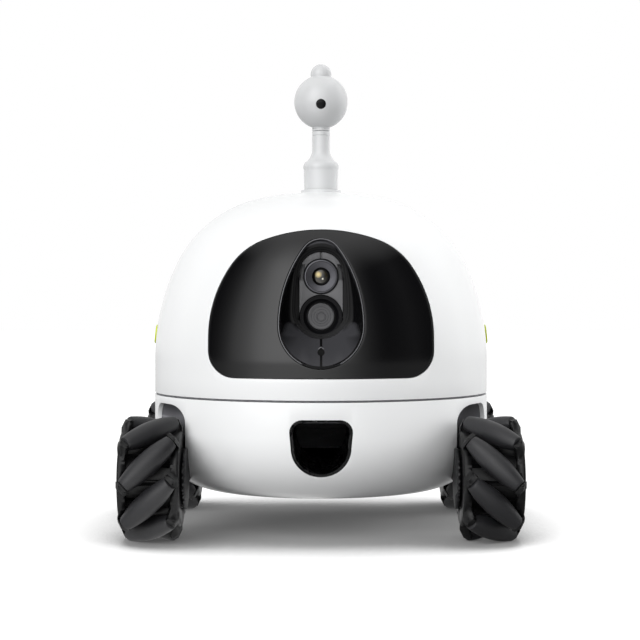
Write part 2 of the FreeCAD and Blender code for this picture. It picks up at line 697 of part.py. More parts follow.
def well_block(name, side, end, grow):
    """The space of one wheel well, with its inner, upper and end edges rounded."""
    reach = D.body_radius + D.well_reach
    inner, near, roof = D.well_inner - grow, D.well_end - grow, D.well_top + grow
    low_x, high_x = (inner, reach) if side > 0 else (-reach, -inner)
    low_y, high_y = (near, reach) if end > 0 else (-reach, -near)
    block = box(name + "_box", (low_x, low_y, 0), (high_x, high_y, roof))
    doc.recompute()
    wall_x, wall_y, top = side * float(inner), end * float(near), float(roof)
    edges = []
    for number, edge in enumerate(block.Shape.Edges, start=1):
        middle = edge.BoundBox.Center
        on_wall = abs(middle.x - wall_x) < 0.01
        on_end = abs(middle.y - wall_y) < 0.01
        on_roof = abs(middle.z - top) < 0.01
        if on_wall + on_end + on_roof == 2:
            edges.append((number, float(D.well_round + grow), float(D.well_round + grow)))
    rounded = doc.addObject("Part::Fillet", name)
    rounded.Base = block
    rounded.Edges = edges
    return rounded


wells = four_corners("well_space", lambda name, side, end: well_block(name, side, end, as_size(0)))
well_walls = four_corners("well_wall", lambda name, side, end: well_block(name, side, end, D.liner_wall))


def cheek(name, side, end, grow):
    """The plate that reaches out of a well's inner wall and carries one motor."""
    outer = D.well_inner + grow
    inner = D.well_inner - D.liner_wall - grow
    start = inner if side > 0 else -outer
    thick = outer - inner
    near, far = D.cheek_start - grow, D.wheel_base / 2
    low_y = near if end > 0 else -far
    bar = box(name + "_bar", (start, low_y, D.cheek_low - grow),
              (start + thick, low_y + far - near, D.cheek_high + grow))
    head = rod(name + "_head", "x", D.cheek_end_radius + grow, (far * end, D.wheel_radius), start, thick)
    return fused(name, bar, head)


def chute_outline(grow):
    """The treat mouth's outline, flat at the top and round at the bottom, grown evenly."""
    half, top = D.chute_half + grow, D.chute_top + grow
    corner, low = D.chute_corner + grow, D.chute_round + grow
    centre = D.chute_low + D.chute_round
    return [
        (-(half - corner), top, corner), (-half, top - corner), (-low, centre, low),
        (as_size(0), centre - low, low), (low, centre), (half, top - corner, corner), (half - corner, top),
    ]


mouth_front = -(D.body_radius + D.cut_margin)
shell_skin = turned("lower_skin", bowl_chain(as_size(0)) + [(D.body_radius, lower_edge),
                    (D.body_radius - D.shell_wall, lower_edge)] + reversed_chain(bowl_chain(D.shell_wall)),
                    start=BOWL_SEAM)
panel_low = D.belly_height - D.belly_drop
belly_panel = box("belly_panel", (-D.belly_half_length, -D.belly_half_width, panel_low),
                  (D.belly_half_length, D.belly_half_width, panel_low + D.belly_panel_wall))
mouth_hole = prism("mouth_hole", TO_XZ, "y", mouth_front, D.body_radius, chute_outline(as_size(0)))
cheek_slots = four_corners("cheek_slot", lambda name, side, end: cheek(name, side, end, D.fit_gap))
lower_shell = cut("lower_shell", fused("lower_shell_blank", shell_skin, belly_panel),
                  fused("lower_shell_openings", *wells.Links, mouth_hole, *cheek_slots.Links))
keep(lower_shell, "lower_shell")

tub_outer = D.shell_wall + D.fit_gap
tub_inner = tub_outer + D.liner_wall
tub_floor = D.belly_height + tub_outer + D.floor_wall
tub_skin = cut("tub_skin", bowl_solid("tub_outside", tub_outer, upper_edge),
               bowl_solid("tub_inside", tub_inner, D.body_radius))
tub_floor_plate = common("tub_floor", bowl_solid("tub_floor_outside", tub_outer, lower_edge),
                         box("tub_floor_slab", (-D.body_radius, -D.body_radius, 0),
                             (D.body_radius, D.body_radius, tub_floor)))
tub_wells = common("tub_wells", bowl_solid("tub_wells_outside", tub_outer, upper_edge),
                   fused("tub_well_walls", *well_walls.Links))
lip_inner = D.body_radius - tub_inner
lip_outer = D.body_radius - D.lip_inset
seam_lip = turned("seam_lip", [
    (lip_inner, lower_edge + D.fit_gap), (lip_outer, lower_edge + D.fit_gap),
    (lip_outer, upper_edge - D.fit_gap), (lip_inner, upper_edge - D.fit_gap)], start=BOWL_SEAM)
tub_blank = fused("tub_blank", tub_skin, tub_floor_plate, tub_wells, seam_lip)
tub_mouth = prism("tub_mouth", TO_XZ, "y", mouth_front, D.body_radius, chute_outline(D.fit_gap * 2))
tub_cut = cut("tub_cut", tub_blank, fused("tub_openings", *wells.Links, tub_mouth))
cheeks = four_corners("cheek", lambda name, side, end: cheek(name, side, end, as_size(0)))
keep(fused("chassis_tub", tub_cut, *cheeks.Links), "chassis_tub")


def drive_motor(name, side, end):
    """A flat gear motor inside the wheel, bolted to the cheek plate."""
    length = D.wheel_track / 2 + web_back - D.motor_end_gap - D.well_inner
    start = D.well_inner if side > 0 else -(D.well_inner + length)
    centre = (D.wheel_base / 2 * end, D.wheel_radius)
    can = rod(name + "_can", "x", D.motor_radius, centre, start, length)
    bore_depth = D.axle_reach + D.axle_end_gap
    bore_start = D.well_inner + length - bore_depth if side > 0 else -(D.well_inner + length)
    bore = rod(name + "_bore", "x", D.axle_radius + D.running_gap, centre, bore_start, bore_depth)
    return cut(name, can, bore)


keep(four_corners("drive_motors", drive_motor), "drive_motors")

# ---------------------------------------------------------------- treat path

rotor_y, rotor_z = D.rotor_behind, D.rotor_height
drum_radius = D.rotor_radius + D.rotor_gap
mouth_inner = -(D.fit_gap + D.chute_wall)
tube_length = rotor_y - mouth_front
tube = prism("chute_tube", TO_XZ, "y", mouth_front, tube_length, chute_outline(-D.fit_gap))
drum = rod("drum", "x", drum_radius + D.chute_wall, (rotor_y, rotor_z), -D.chute_half - D.chute_wall,
           (D.chute_half + D.chute_wall) * 2)
tube_space = prism("tube_space", TO_XZ, "y", mouth_front, tube_length, chute_outline(mouth_inner))
drum_half = D.chute_half - D.fit_gap
drum_space = rod("drum_space", "x", drum_radius, (rotor_y, rotor_z), -drum_half, drum_half * 2)
throat_front, throat_back = rotor_y - D.throat_length / 2, rotor_y + D.throat_length / 2
throat_side = D.throat_half + D.chute_wall
throat_outside = box("throat_outside", (-throat_side, throat_front - D.chute_wall, rotor_z),
                     (throat_side, throat_back + D.chute_wall, D.hopper_floor - D.fit_gap))
throat_space = box("throat_space", (-D.throat_half, throat_front, rotor_z),
                   (D.throat_half, throat_back, D.hopper_floor + D.fit_gap))
shaft_hole = rod("shaft_hole", "x", D.rotor_shaft + D.running_gap, (rotor_y, rotor_z),
                 -D.body_radius / 2, D.body_radius)
post_foot = D.chute_top - D.fit_gap - D.chute_wall
post_places = [(x, y) for x in (-D.chute_half / 2, D.chute_half / 2)
               for y in (-D.board_front + D.post_inset, D.board_width - D.board_front - D.post_inset)]
posts = [rod(f"board_post_{number}", "z", D.post_radius, place, post_foot, D.board_height - post_foot)
         for number, place in enumerate(post_places, start=1)]
mouth_limit = bowl_solid("mouth_limit", D.chute_setback, D.body_radius)
chute_outside = fused("chute_outside", tube, drum, throat_outside, *posts)
chute_spaces = fused("chute_spaces", tube_space, drum_space, throat_space, shaft_hole)
chute_body = common("chute_in_skin", chute_outside, mouth_limit)
keep(cut("chute_liner", chute_body, chute_spaces), "chute_liner")

rotor_half = drum_half - D.rotor_gap
paddles = []
for index in range(PADDLES):
    blade = doc.addObject("Part::Box", f"paddle_{index + 1}")
    bind(blade, Length=rotor_half * 2, Width=D.paddle_wall, Height=D.rotor_radius)
    turn = FreeCAD.Rotation(FreeCAD.Vector(1, 0, 0), 360.0 / PADDLES * (index + 0.5))
    offset = turn.multVec(FreeCAD.Vector(-float(rotor_half), -float(D.paddle_wall) / 2, 0))
    blade.Placement = FreeCAD.Placement(FreeCAD.Vector(0, float(rotor_y), float(rotor_z)) + offset, turn)
    paddles.append(blade)
rotor_core = rod("rotor_core", "x", D.rotor_hub, (rotor_y, rotor_z), -rotor_half, rotor_half * 2)
shaft_start = -(D.chute_half + D.chute_wall)
shaft_length = (D.chute_half + D.chute_wall) * 2 + D.shaft_reach
rotor_axle = rod("rotor_axle", "x", D.rotor_shaft, (rotor_y, rotor_z), shaft_start, shaft_length)
rotor_limit = rod("rotor_limit", "x", D.rotor_radius, (rotor_y, rotor_z),
                  -D.body_radius, D.body_radius * 2)
rotor_blank = fused("rotor_blank", rotor_core, rotor_axle, *paddles)
keep(common("toss_rotor", rotor_blank, rotor_limit), "toss_rotor")

motor_start = D.chute_half + D.chute_wall
toss_can = rod("toss_can", "x", D.toss_motor_radius, (rotor_y, rotor_z),
               motor_start, D.toss_motor_length)
toss_bore = rod("toss_bore", "x", D.rotor_shaft + D.running_gap, (rotor_y, rotor_z),
                motor_start, D.shaft_reach + D.axle_end_gap)
keep(cut("toss_motor", toss_can, toss_bore), "toss_motor")

throat_rear = throat_back + D.hopper_wall


def hopper_outline(grow):
    """The hopper seen from the side: a floor that slopes down to the throat at its front."""
    front, floor = D.hopper_front - grow, D.hopper_floor - grow
    rear = D.body_radius
    return [(front, floor), (throat_rear, floor), (rear, floor + (rear - throat_rear) * D.hopper_slope),
            (rear, apex_height), (front, apex_height)]


def hopper_block(name, half, grow, gap):
    """The hopper's block, kept inside the dome by a gap."""
    side = prism(name + "_side", TO_YZ, "x", -half, half * 2, hopper_outline(grow))
    return common(name, side, dome_solid(name + "_dome", D.shell_wall + gap, D.seam_height))


def rounded_box(half, low, high, corner):
    """A rounded rectangle, centred on the middle plane."""
    flat = half - corner
    return [
        (-flat, low), (flat, low, corner), (half, low + corner), (half, high - corner, corner),
        (flat, high), (-flat, high, corner), (-half, high - corner), (-half, low + corner, corner),
    ]


hopper_outside = hopper_block("hopper_outside", D.hopper_half, as_size(0), D.hopper_gap)
hopper_inside = hopper_block("hopper_inside", D.hopper_half - D.hopper_wall, -D.hopper_wall,
                             D.hopper_gap + D.hopper_wall)
fill_hole = prism("fill_hole", TO_XZ, "y", D.body_radius / 2, D.body_radius,
                  rounded_box(D.lid_half - D.fill_margin, D.lid_low + D.fill_margin,
                              D.lid_high - D.fill_margin, D.lid_corner - D.fill_margin))
throat_hole = box("throat_hole", (-D.throat_half, throat_front, D.seam_height),
                  (D.throat_half, throat_back, D.hopper_floor + D.hopper_wall * 2))
hopper_spaces = fused("hopper_spaces", hopper_inside, fill_hole, throat_hole)
keep(cut("treat_hopper", hopper_outside, hopper_spaces), "treat_hopper")

# ---------------------------------------------------------------- upper shell, lid and buttons


def d_outline(grow):
    """The visor's outline: flat below, with upright sides that curve over into a round top."""
    half, low, corner = D.visor_half + grow, D.visor_low - grow, D.visor_corner + grow
    side, shoulder = D.visor_side_radius + grow, D.visor_shoulder + grow
    side_x, side_z = D.visor_half - D.visor_side_radius, D.visor_side_start
    across, up = cosine(D.visor_side_angle), sine(D.visor_side_angle)
    turn_x = side_x + (D.visor_side_radius - D.visor_shoulder) * across
    turn_z = side_z + (D.visor_side_radius - D.visor_shoulder) * up
    top = D.visor_shoulder + turn_x / cosine(D.visor_crown_angle) + grow
    first_x, first_z = side_x + side * across, side_z + side * up
    second_x = turn_x + shoulder * cosine(D.visor_crown_angle)
    second_z = turn_z + shoulder * sine(D.visor_crown_angle)
    flat, corner_z = D.visor_half - D.visor_corner, D.visor_low + D.visor_corner
    return [
        (-flat, low), (flat, low, corner), (half, corner_z), (half, side_z, side),
        (first_x, first_z, shoulder), (second_x, second_z, top), (-second_x, second_z, shoulder),
        (-first_x, first_z, side), (-half, side_z), (-half, corner_z, corner),
    ]


def egg(half_width, middle, top, tip_radius, grow):
    """An egg's outline, grown evenly: round below, longer and narrower above."""
    half, tip = half_width + grow, tip_radius + grow
    tip_z = top - tip_radius
    rise = tip_z - middle
    slack = half_width - tip_radius
    offset = (rise * rise - slack * slack) / (slack * 2)
    flank = offset + half
    reach = offset + half_width - tip_radius
    touch_x = tip * offset / reach
    touch_z = tip_z + tip * rise / reach
    return [
        (as_size(0), middle - half, half), (half, middle, flank), (touch_x, touch_z, tip),
        (as_size(0), tip_z + tip, tip), (-touch_x, touch_z, flank), (-half, middle, half),
    ]


def egg_outline(grow):
    """The camera recess's outline."""
    return egg(D.egg_half, D.egg_middle, D.egg_top, D.egg_tip_radius, grow)


def frame_outline(grow):
    """The outline of the frame round the camera pod."""
    return egg(D.frame_half, D.frame_middle, D.frame_top, D.frame_tip_radius, grow)


hinge_y = D.body_radius - D.hinge_sink
hinge_z = D.lid_low - D.hinge_drop


def hinge_part(name, radius, start, length):
    return rod(name, "x", radius, (hinge_y, hinge_z), start, length)


def side_button_block(name, side, grow, inner, outer):
    """A rounded block through the dome's side, between two distances from the middle."""
    start = inner if side > 0 else -outer
    length = outer - inner
    half, low = D.button_half_width + grow, D.button_height - D.button_half_height - grow
    high = D.button_height + D.button_half_height + grow
    return prism(name, TO_YZ, "x", start, length, rounded_box(half, low, high, D.button_corner + grow))


upper_skin = turned("upper_skin", [(D.body_radius - D.shell_wall, upper_edge), (D.body_radius, upper_edge)]
                    + dome_chain(as_size(0)) + reversed_chain(dome_chain(D.shell_wall)), start=DOME_SEAM)
knuckle_inner = D.hinge_middle_half + D.lid_gap / 2
side_knuckle = D.hinge_half - knuckle_inner
shell_knuckles = fused("shell_knuckles",
                       hinge_part("knuckle_left", D.hinge_radius, knuckle_inner, side_knuckle),
                       hinge_part("knuckle_right", D.hinge_radius, -D.hinge_half, side_knuckle))
visor_window = prism("visor_window", TO_XZ, "y", mouth_front, D.body_radius, d_outline(D.fit_gap / 2))
lid_window = prism("lid_window", TO_XZ, "y", D.body_radius / 2, D.body_radius,
                   rounded_box(D.lid_half + D.lid_gap, D.lid_low - D.lid_gap, D.lid_high + D.lid_gap,
                               D.lid_corner + D.lid_gap))
antenna_hole = rod("antenna_hole", "z", D.root_radius + D.fit_gap, (0, 0),
                   apex_height - D.root_length, D.body_radius)
knuckle_space = hinge_part("knuckle_space", D.hinge_radius + D.lid_gap, -knuckle_inner, knuckle_inner * 2)
pin_hole = hinge_part("pin_hole", D.hinge_pin_radius, -D.hinge_half, D.hinge_half * 2)
button_back, button_front = D.body_radius - D.button_depth, D.body_radius + D.cut_margin
button_holes = [side_button_block(f"button_hole_{word}", side, as_size(0), button_back, button_front)
                for word, side in (("left", 1), ("right", -1))]
shell_openings = fused("upper_openings", visor_window, lid_window, antenna_hole, *button_holes)
shell_cut = cut("upper_shell_cut", upper_skin, shell_openings)
upper_shell = cut("upper_shell", fused("upper_with_knuckles", shell_cut, shell_knuckles),
                  fused("upper_hinge_spaces", knuckle_space, pin_hole))
keep(upper_shell, "upper_shell")

lid_panel = common("lid_panel", upper_skin, prism("lid_prism", TO_XZ, "y", D.body_radius / 2, D.body_radius,
                   rounded_box(D.lid_half, D.lid_low, D.lid_high, D.lid_corner)))
lid_knuckle_half = D.hinge_middle_half - D.lid_gap / 2
lid_knuckle = hinge_part("lid_knuckle", D.hinge_radius, -lid_knuckle_half, lid_knuckle_half * 2)
space_radius, space_end = D.hinge_radius + D.lid_gap, D.hinge_half + D.lid_gap
space_length = space_end - D.hinge_middle_half
lid_spaces = [
    hinge_part("lid_space_left", space_radius, D.hinge_middle_half, space_length),
    hinge_part("lid_space_right", space_radius, -space_end, space_length),
    hinge_part("lid_pin_space", D.hinge_pin_radius + D.running_gap, -space_end, space_end * 2),
]
lid_web = box("lid_web", (-lid_knuckle_half, hinge_y - D.lid_web_depth, hinge_z),
              (lid_knuckle_half, hinge_y, D.lid_low + D.lid_web_rise))
lid_web_limit = common("lid_web_inside", lid_web, dome_solid("lid_web_dome", as_size(0), D.seam_height))
lid_blank = fused("lid_blank", lid_panel, lid_knuckle, lid_web_limit)
keep(cut("hopper_lid", lid_blank, fused("lid_clearances", *lid_spaces)), "hopper_lid")
keep(hinge_part("lid_hinge_pin", D.hinge_pin_radius, -D.hinge_half, D.hinge_half * 2), "lid_hinge_pin")

button_skin = dome_solid("button_skin", -D.button_proud, D.seam_height)
for word, side in (("left", 1), ("right", -1)):
    block = side_button_block(f"button_block_{word}", side, -D.button_gap, button_back, button_front)
    cap = common(f"button_cap_{word}", button_skin, block)
    flange = side_button_block(f"button_flange_{word}", side, D.button_flange,
                               D.button_flange_front - D.button_flange_wall, D.button_flange_front)
    keep(fused(f"side_button_{word}", cap, flange), f"side_button_{word}")

# ---------------------------------------------------------------- visor and camera


def capsule_outline(grow):
    """The camera pod's outline, an upright capsule."""
    half = D.pod_half + grow
    low, high = D.pod_low + D.pod_half, D.pod_high - D.pod_half
    return [
        (as_size(0), low - half, half), (half, low), (half, high, half),
        (as_size(0), high + half, half), (-half, high), (-half, low, half),
    ]


def leaning(name, outline):
    """A sketch of the egg on a plane that leans back with the dome."""
    sketch = loose_sketch(name, TO_XZ, outline)
    lean = math.degrees(math.atan2(float(D.bezel_lean), float(D.egg_top - D.egg_middle + D.egg_half)))
    foot = FreeCAD.Vector(0, -float(D.bezel_front), float(D.egg_middle - D.egg_half))
    tilt = FreeCAD.Rotation(FreeCAD.Vector(1, 0, 0), -lean)
    drop = FreeCAD.Placement(FreeCAD.Vector(), TO_XZ)
    sketch.Placement = FreeCAD.Placement(foot, tilt).multiply(
        FreeCAD.Placement(FreeCAD.Vector(0, 0, -foot.z), FreeCAD.Rotation())).multiply(drop)
    return sketch


def funnel(name, grow, back):
    """A funnel from the egg at the skin to the frame round the pod."""
    front = leaning(name + "_egg", egg_outline(grow))
    rear = bind(loose_sketch(name + "_frame", TO_XZ, frame_outline(as_size(0))), y=-back)
    solid = doc.addObject("Part::Loft", name)
    solid.Sections = [front, rear]
    solid.Solid = True
    solid.Ruled = True
    return solid


bezel_back = D.pod_face - D.bezel_wall
egg_prism = prism("egg_prism", TO_XZ, "y", mouth_front, D.body_radius, egg_outline(as_size(0)))
egg_hole = prism("egg_hole", TO_XZ, "y", mouth_front, D.body_radius, egg_outline(D.fit_gap))
visor_prism = prism("visor_prism", TO_XZ, "y", mouth_front, D.body_radius, d_outline(-D.fit_gap / 2))
visor_blank = common("visor_blank", upper_skin, visor_prism)
keep(cut("face_visor", visor_blank, egg_hole), "face_visor")

bezel_slab = box("bezel_slab", (-D.egg_half * 2, -D.body_radius * 2, 0),
                 (D.egg_half * 2, -bezel_back, apex_height))
bezel_dome = dome_solid("bezel_dome", -D.fit_gap, D.seam_height)
bezel_block = common("bezel_block", egg_prism, bezel_dome, bezel_slab)
pod_hole = prism("pod_hole", TO_XZ, "y", mouth_front, D.body_radius, capsule_outline(D.fit_gap))
mic_hole = rod("mic_hole", "y", D.mic_radius, (0, D.mic_height), -D.body_radius * 2, D.body_radius * 1.5)
bezel_funnel = funnel("bezel_funnel", -D.egg_lip, D.frame_front)
step_start = -D.frame_front - D.fit_gap / 2
frame_steps = [prism(f"frame_step_{number}", TO_XZ, "y", step_start, D.frame_rise * number + D.fit_gap / 2,
                     frame_outline(-D.frame_ledge - D.frame_step * (number - 1)))
               for number in (1, 2)]
floor_start = (-D.bezel_front, D.egg_middle - D.egg_half + D.egg_lip)
floor_end = (-D.frame_front, D.frame_middle - D.frame_half)
floor_slope = (floor_end[0] - floor_start[0]) / (floor_end[1] - floor_start[1])


def floor_cut(name, low, high, width, depth):
    """A slot in the recess's sloping floor, between two heights."""
    ends = [(floor_start[0] + floor_slope * (z - floor_start[1]), as_size(z)) for z in (low, high)]
    return prism(name, TO_YZ, "x", -width / 2, width, [
        (ends[0][0] - D.slot_depth, ends[0][1]), (ends[0][0] + depth, ends[0][1]),
        (ends[1][0] + depth, ends[1][1]), (ends[1][0] - D.slot_depth, ends[1][1]),
    ])


groove = floor_cut("groove", D.mic_height, floor_end[1] + D.groove_depth, D.groove_width, D.groove_depth)
mic_slot = floor_cut("mic_slot", floor_start[1], D.mic_height, D.slot_width, D.slot_depth)
bezel_spaces = fused("bezel_spaces", bezel_funnel, *frame_steps, pod_hole, mic_hole, groove, mic_slot)
keep(cut("camera_bezel", bezel_block, bezel_spaces), "camera_bezel")

pod_blank = body_on("pod_blank", "XZ_Plane", capsule_outline(as_size(0)),
                    D.pod_face - D.pod_depth, D.pod_depth)
lens_bore = rod("lens_bore", "y", D.lens_ring_radius, (0, D.lens_height), -D.pod_face, D.lens_depth)
lens_gap = rod("lens_gap", "y", D.lens_gap_radius, (0, D.lens_height), -D.pod_face, D.lens_gap_depth)
sensor_bore = rod("sensor_bore", "y", D.sensor_bore_radius, (0, D.sensor_height),
                  -D.pod_face, D.sensor_depth)
notch_back = D.lens_gap_depth - D.pod_face
notches = [box(f"notch_{word}", (near, -D.pod_face, D.notch_low), (far, notch_back, D.notch_high))
           for word, near, far in (("left", D.notch_inner, D.pod_half),
                                   ("right", -D.pod_half, -D.notch_inner))]
pod_slot = box("pod_slot", (-D.pod_slot_width / 2, -D.pod_face, D.lens_height),
               (D.pod_slot_width / 2, D.pod_slot_depth - D.pod_face, D.pod_high))
pod_bores = fused("pod_bores", lens_bore, lens_gap, sensor_bore, *notches, pod_slot)
keep(cut("camera_pod", pod_blank, pod_bores), "camera_pod")


def faces_front(item, y, z):
    """Turn a solid that was turned round Z so that its +Z faces the front."""
    item.Placement = FreeCAD.Placement(FreeCAD.Vector(0, -float(y), float(z)),
                                       FreeCAD.Rotation(FreeCAD.Vector(1, 0, 0), 90))
    return item


lens_back = -D.lens_depth
glass_seat = D.lens_back_wall - D.lens_depth
glass_edge = D.lens_glass_radius + D.glass_flange
glass_rim = -D.glass_sink
keep(faces_front(turned_body("lens_barrel", [
    (as_size(0), lens_back), (D.lens_ring_radius, lens_back),
    (D.lens_ring_radius, D.lens_proud - D.lens_edge), (D.lens_ring_radius - D.lens_edge, D.lens_proud),
    (D.lens_ring_radius - D.lens_edge * 2, D.lens_proud), (glass_edge + D.cone_ledge, -D.cone_depth),
    (glass_edge, -D.cone_depth), (glass_edge, glass_seat), (as_size(0), glass_seat),
]), D.pod_face, D.lens_height), "lens_barrel")


def cap_radius(half, rise):
    """The radius of the ball that a lens cap is cut from, so that its crown is on the axis."""
    return (half * half + rise * rise) / (rise * 2)


keep(faces_front(turned_body("lens_glass", [
    (as_size(0), glass_seat), (glass_edge, glass_seat), (glass_edge, glass_rim),
    (D.lens_glass_radius, glass_rim, cap_radius(D.lens_glass_radius, D.glass_rise)),
    (as_size(0), glass_rim + D.glass_rise),
]), D.pod_face, D.lens_height), "lens_glass")
keep(faces_front(turned_body("sensor_window", [
    (as_size(0), -D.sensor_depth), (D.sensor_well_radius, -D.sensor_depth),
    (D.sensor_well_radius, -D.sensor_sink), (D.sensor_ring_radius, -D.sensor_sink),
    (D.sensor_ring_radius - D.sensor_slope, -D.sensor_dip), (D.sensor_disc_radius, -D.sensor_dip),
    (D.sensor_disc_radius, -D.disc_edge * 2), (D.sensor_disc_radius - D.disc_edge, -D.disc_edge),
    (as_size(0), -D.disc_edge),
]), D.pod_face, D.sensor_height), "sensor_window")

# ---------------------------------------------------------------- antenna

foot_z = apex_height + D.fit_gap / 2
collar_low = apex_height - D.fit_gap
collar_top = collar_low + D.collar_depth
collar_bore = D.stalk_radius + D.fit_gap / 2
keep(turned_body("antenna_collar", [
    (collar_bore, collar_low), (D.collar_radius, collar_low),
    (D.collar_radius, collar_top - D.collar_round, D.collar_round),
    (D.collar_radius - D.collar_round, collar_top), (collar_bore, collar_top),
]), "antenna_collar")
keep(turned_body("antenna_stalk", [
    (as_size(0), apex_height - D.root_length), (D.root_radius, apex_height - D.root_length),
    (D.root_radius, foot_z), (D.stalk_radius, foot_z), (D.stalk_flare, D.stalk_shoulder, D.shoulder_round),
    (D.turn_radius, D.turn_height, -D.neck_round),
    (D.neck_radius, D.neck_start), (D.neck_radius, D.neck_top), (D.spigot_radius, D.neck_top),
    (D.spigot_radius, D.neck_top + D.spigot_length), (as_size(0), D.neck_top + D.spigot_length),
]), "antenna_stalk")

head_low = D.neck_top + D.fit_gap
ball_foot = D.ball_height - root(D.ball_radius * D.ball_radius - D.neck_radius * D.neck_radius)
tuft_rise = D.tuft_height - D.ball_height
ball_square = D.ball_radius * D.ball_radius
meet_rise = (tuft_rise * tuft_rise + ball_square - D.tuft_radius * D.tuft_radius) / (tuft_rise * 2)
meet_x = root(ball_square - meet_rise * meet_rise)
socket = D.spigot_radius + D.running_gap
socket_top = D.neck_top + D.spigot_length + D.fit_gap
head_blank = turned("head_blank", [
    (socket, head_low), (D.neck_radius, head_low), (D.neck_radius, ball_foot, D.ball_radius),
    (D.ball_radius, D.ball_height, D.ball_radius), (meet_x, D.ball_height + meet_rise, D.tuft_radius),
    (as_size(0), D.tuft_height + D.tuft_radius), (as_size(0), socket_top), (socket, socket_top),
])
dip = math.radians(float(D.pointer_dip))
pointer_back = D.ball_radius - D.pointer_depth


def pointer_placement():
    """From the middle of the ball, looking forward and a little down."""
    turn = FreeCAD.Rotation(FreeCAD.Vector(1, 0, 0), 90 + float(D.pointer_dip))
    forward = FreeCAD.Vector(0, -math.cos(dip), -math.sin(dip))
    centre = FreeCAD.Vector(0, 0, float(D.ball_height))
    return FreeCAD.Placement(centre + forward * float(pointer_back), turn)


pointer_bore = doc.addObject("Part::Cylinder", "pointer_bore")
bind(pointer_bore, Radius=D.pointer_radius, Height=D.pointer_depth * 2)
pointer_bore.Placement = pointer_placement()
keep(cut("antenna_head", head_blank, pointer_bore), "antenna_head")
pointer_edge = D.pointer_depth - D.pointer_sink
pointer = turned_body("pointer_lens", [
    (as_size(0), as_size(0)), (D.pointer_radius, as_size(0)),
    (D.pointer_radius, pointer_edge, cap_radius(D.pointer_radius, D.pointer_rise)),
    (as_size(0), pointer_edge + D.pointer_rise),
])
pointer.Placement = pointer_placement()
keep(pointer, "pointer_lens")

# ---------------------------------------------------------------- electronics

pack = box("battery_pack", (-D.pack_half_length, D.pack_front, tub_floor),
           (D.pack_half_length, D.pack_front + D.pack_width, tub_floor + D.pack_height))
keep(pack, "battery_pack")
board_top = D.board_height + D.board_wall
board = box("board_plate", (-D.board_half_length, -D.board_front, D.board_height),
            (D.board_half_length, -D.board_front + D.board_width, board_top))
chips = [box(f"chip_{number}", (x, y, D.board_height + D.board_wall / 2),
             (as_size(x) + D.chip_side, as_size(y) + D.chip_side, board_top + D.chip_height))
         for number, (x, y) in enumerate(CHIP_CORNERS, start=1)]
keep(fused("main_board", board, *chips), "main_board")

# ---------------------------------------------------------------- check and write

doc.recompute()
faults = []
for item in doc.Objects:
    if "Invalid" in item.State or "Error" in item.State:
        faults.append(f"{item.Name} ({item.Label}): {item.State} {item.getStatusString()}")
for item in kept:
    shape = item.Shape
    if shape.isNull() or not shape.isValid() or not shape.Solids:
        faults.append(f"{item.Label}: its shape is null, invalid or holds no solid")
if faults:
    raise RuntimeError("\n".join(faults))
os.makedirs("parts", exist_ok=True)
for item in kept:
    item.Shape.exportStep(os.path.join("parts", item.Label + ".step"))
print(len(kept), "sub-parts written")
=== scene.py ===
# %% [markdown]
# # Dressing a treat tossing pet camera
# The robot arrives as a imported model: every piece at its real size, in metres, with its place in
# its mesh. This lesson gives each visible piece its real surface, adds the small things that a
# maker would fit last, and lights it. Nothing here moves a piece of the model.

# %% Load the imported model
import json
import math

import bmesh
import bpy
from mathutils import Matrix, Vector

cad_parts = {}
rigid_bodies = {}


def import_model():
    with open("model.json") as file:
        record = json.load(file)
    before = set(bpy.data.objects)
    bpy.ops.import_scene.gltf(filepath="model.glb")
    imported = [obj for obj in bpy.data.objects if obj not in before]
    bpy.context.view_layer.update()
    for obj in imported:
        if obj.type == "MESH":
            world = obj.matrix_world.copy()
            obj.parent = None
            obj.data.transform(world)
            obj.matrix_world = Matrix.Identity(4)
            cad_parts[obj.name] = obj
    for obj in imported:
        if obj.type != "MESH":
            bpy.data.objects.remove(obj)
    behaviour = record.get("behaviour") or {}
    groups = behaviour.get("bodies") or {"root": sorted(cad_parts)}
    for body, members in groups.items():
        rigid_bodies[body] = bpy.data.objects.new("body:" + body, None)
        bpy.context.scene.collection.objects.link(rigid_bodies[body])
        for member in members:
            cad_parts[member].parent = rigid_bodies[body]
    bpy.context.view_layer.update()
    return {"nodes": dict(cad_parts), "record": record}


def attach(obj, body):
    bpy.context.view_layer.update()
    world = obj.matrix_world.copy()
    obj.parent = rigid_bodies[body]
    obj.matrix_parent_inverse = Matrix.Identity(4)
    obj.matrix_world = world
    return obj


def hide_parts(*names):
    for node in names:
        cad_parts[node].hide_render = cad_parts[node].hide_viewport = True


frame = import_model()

NODES = frame["nodes"]
RECORD = frame["record"]
BODY_OF = {node: body for body, nodes in RECORD["behaviour"]["bodies"].items() for node in nodes}
SLOT_OF = {row["node"]: row["material_slot"] for row in RECORD["subparts"]}
MM = 0.001

# %% [markdown]
# ## Tools for materials
# A colour is easiest to write as a hex code, which is sRGB, while the shader wants linear light,
# so one function turns the first into the second. A pattern is easiest to size in millimetres: a
# noise of scale 1000 repeats about every millimetre, because one unit is a metre.

# %% Colour, scale and one function that adds a node


def linear(code):
    """The linear colour of an sRGB hex code."""
    parts = [int(code[place:place + 2], 16) / 255 for place in (1, 3, 5)]
    curve = [part / 12.92 if part <= 0.04045 else ((part + 0.055) / 1.055) ** 2.4 for part in parts]
    return curve + [1.0]


def scale_of(millimetres):
    """The scale of a pattern whose features are that many millimetres wide."""
    return 1 / (millimetres * MM)


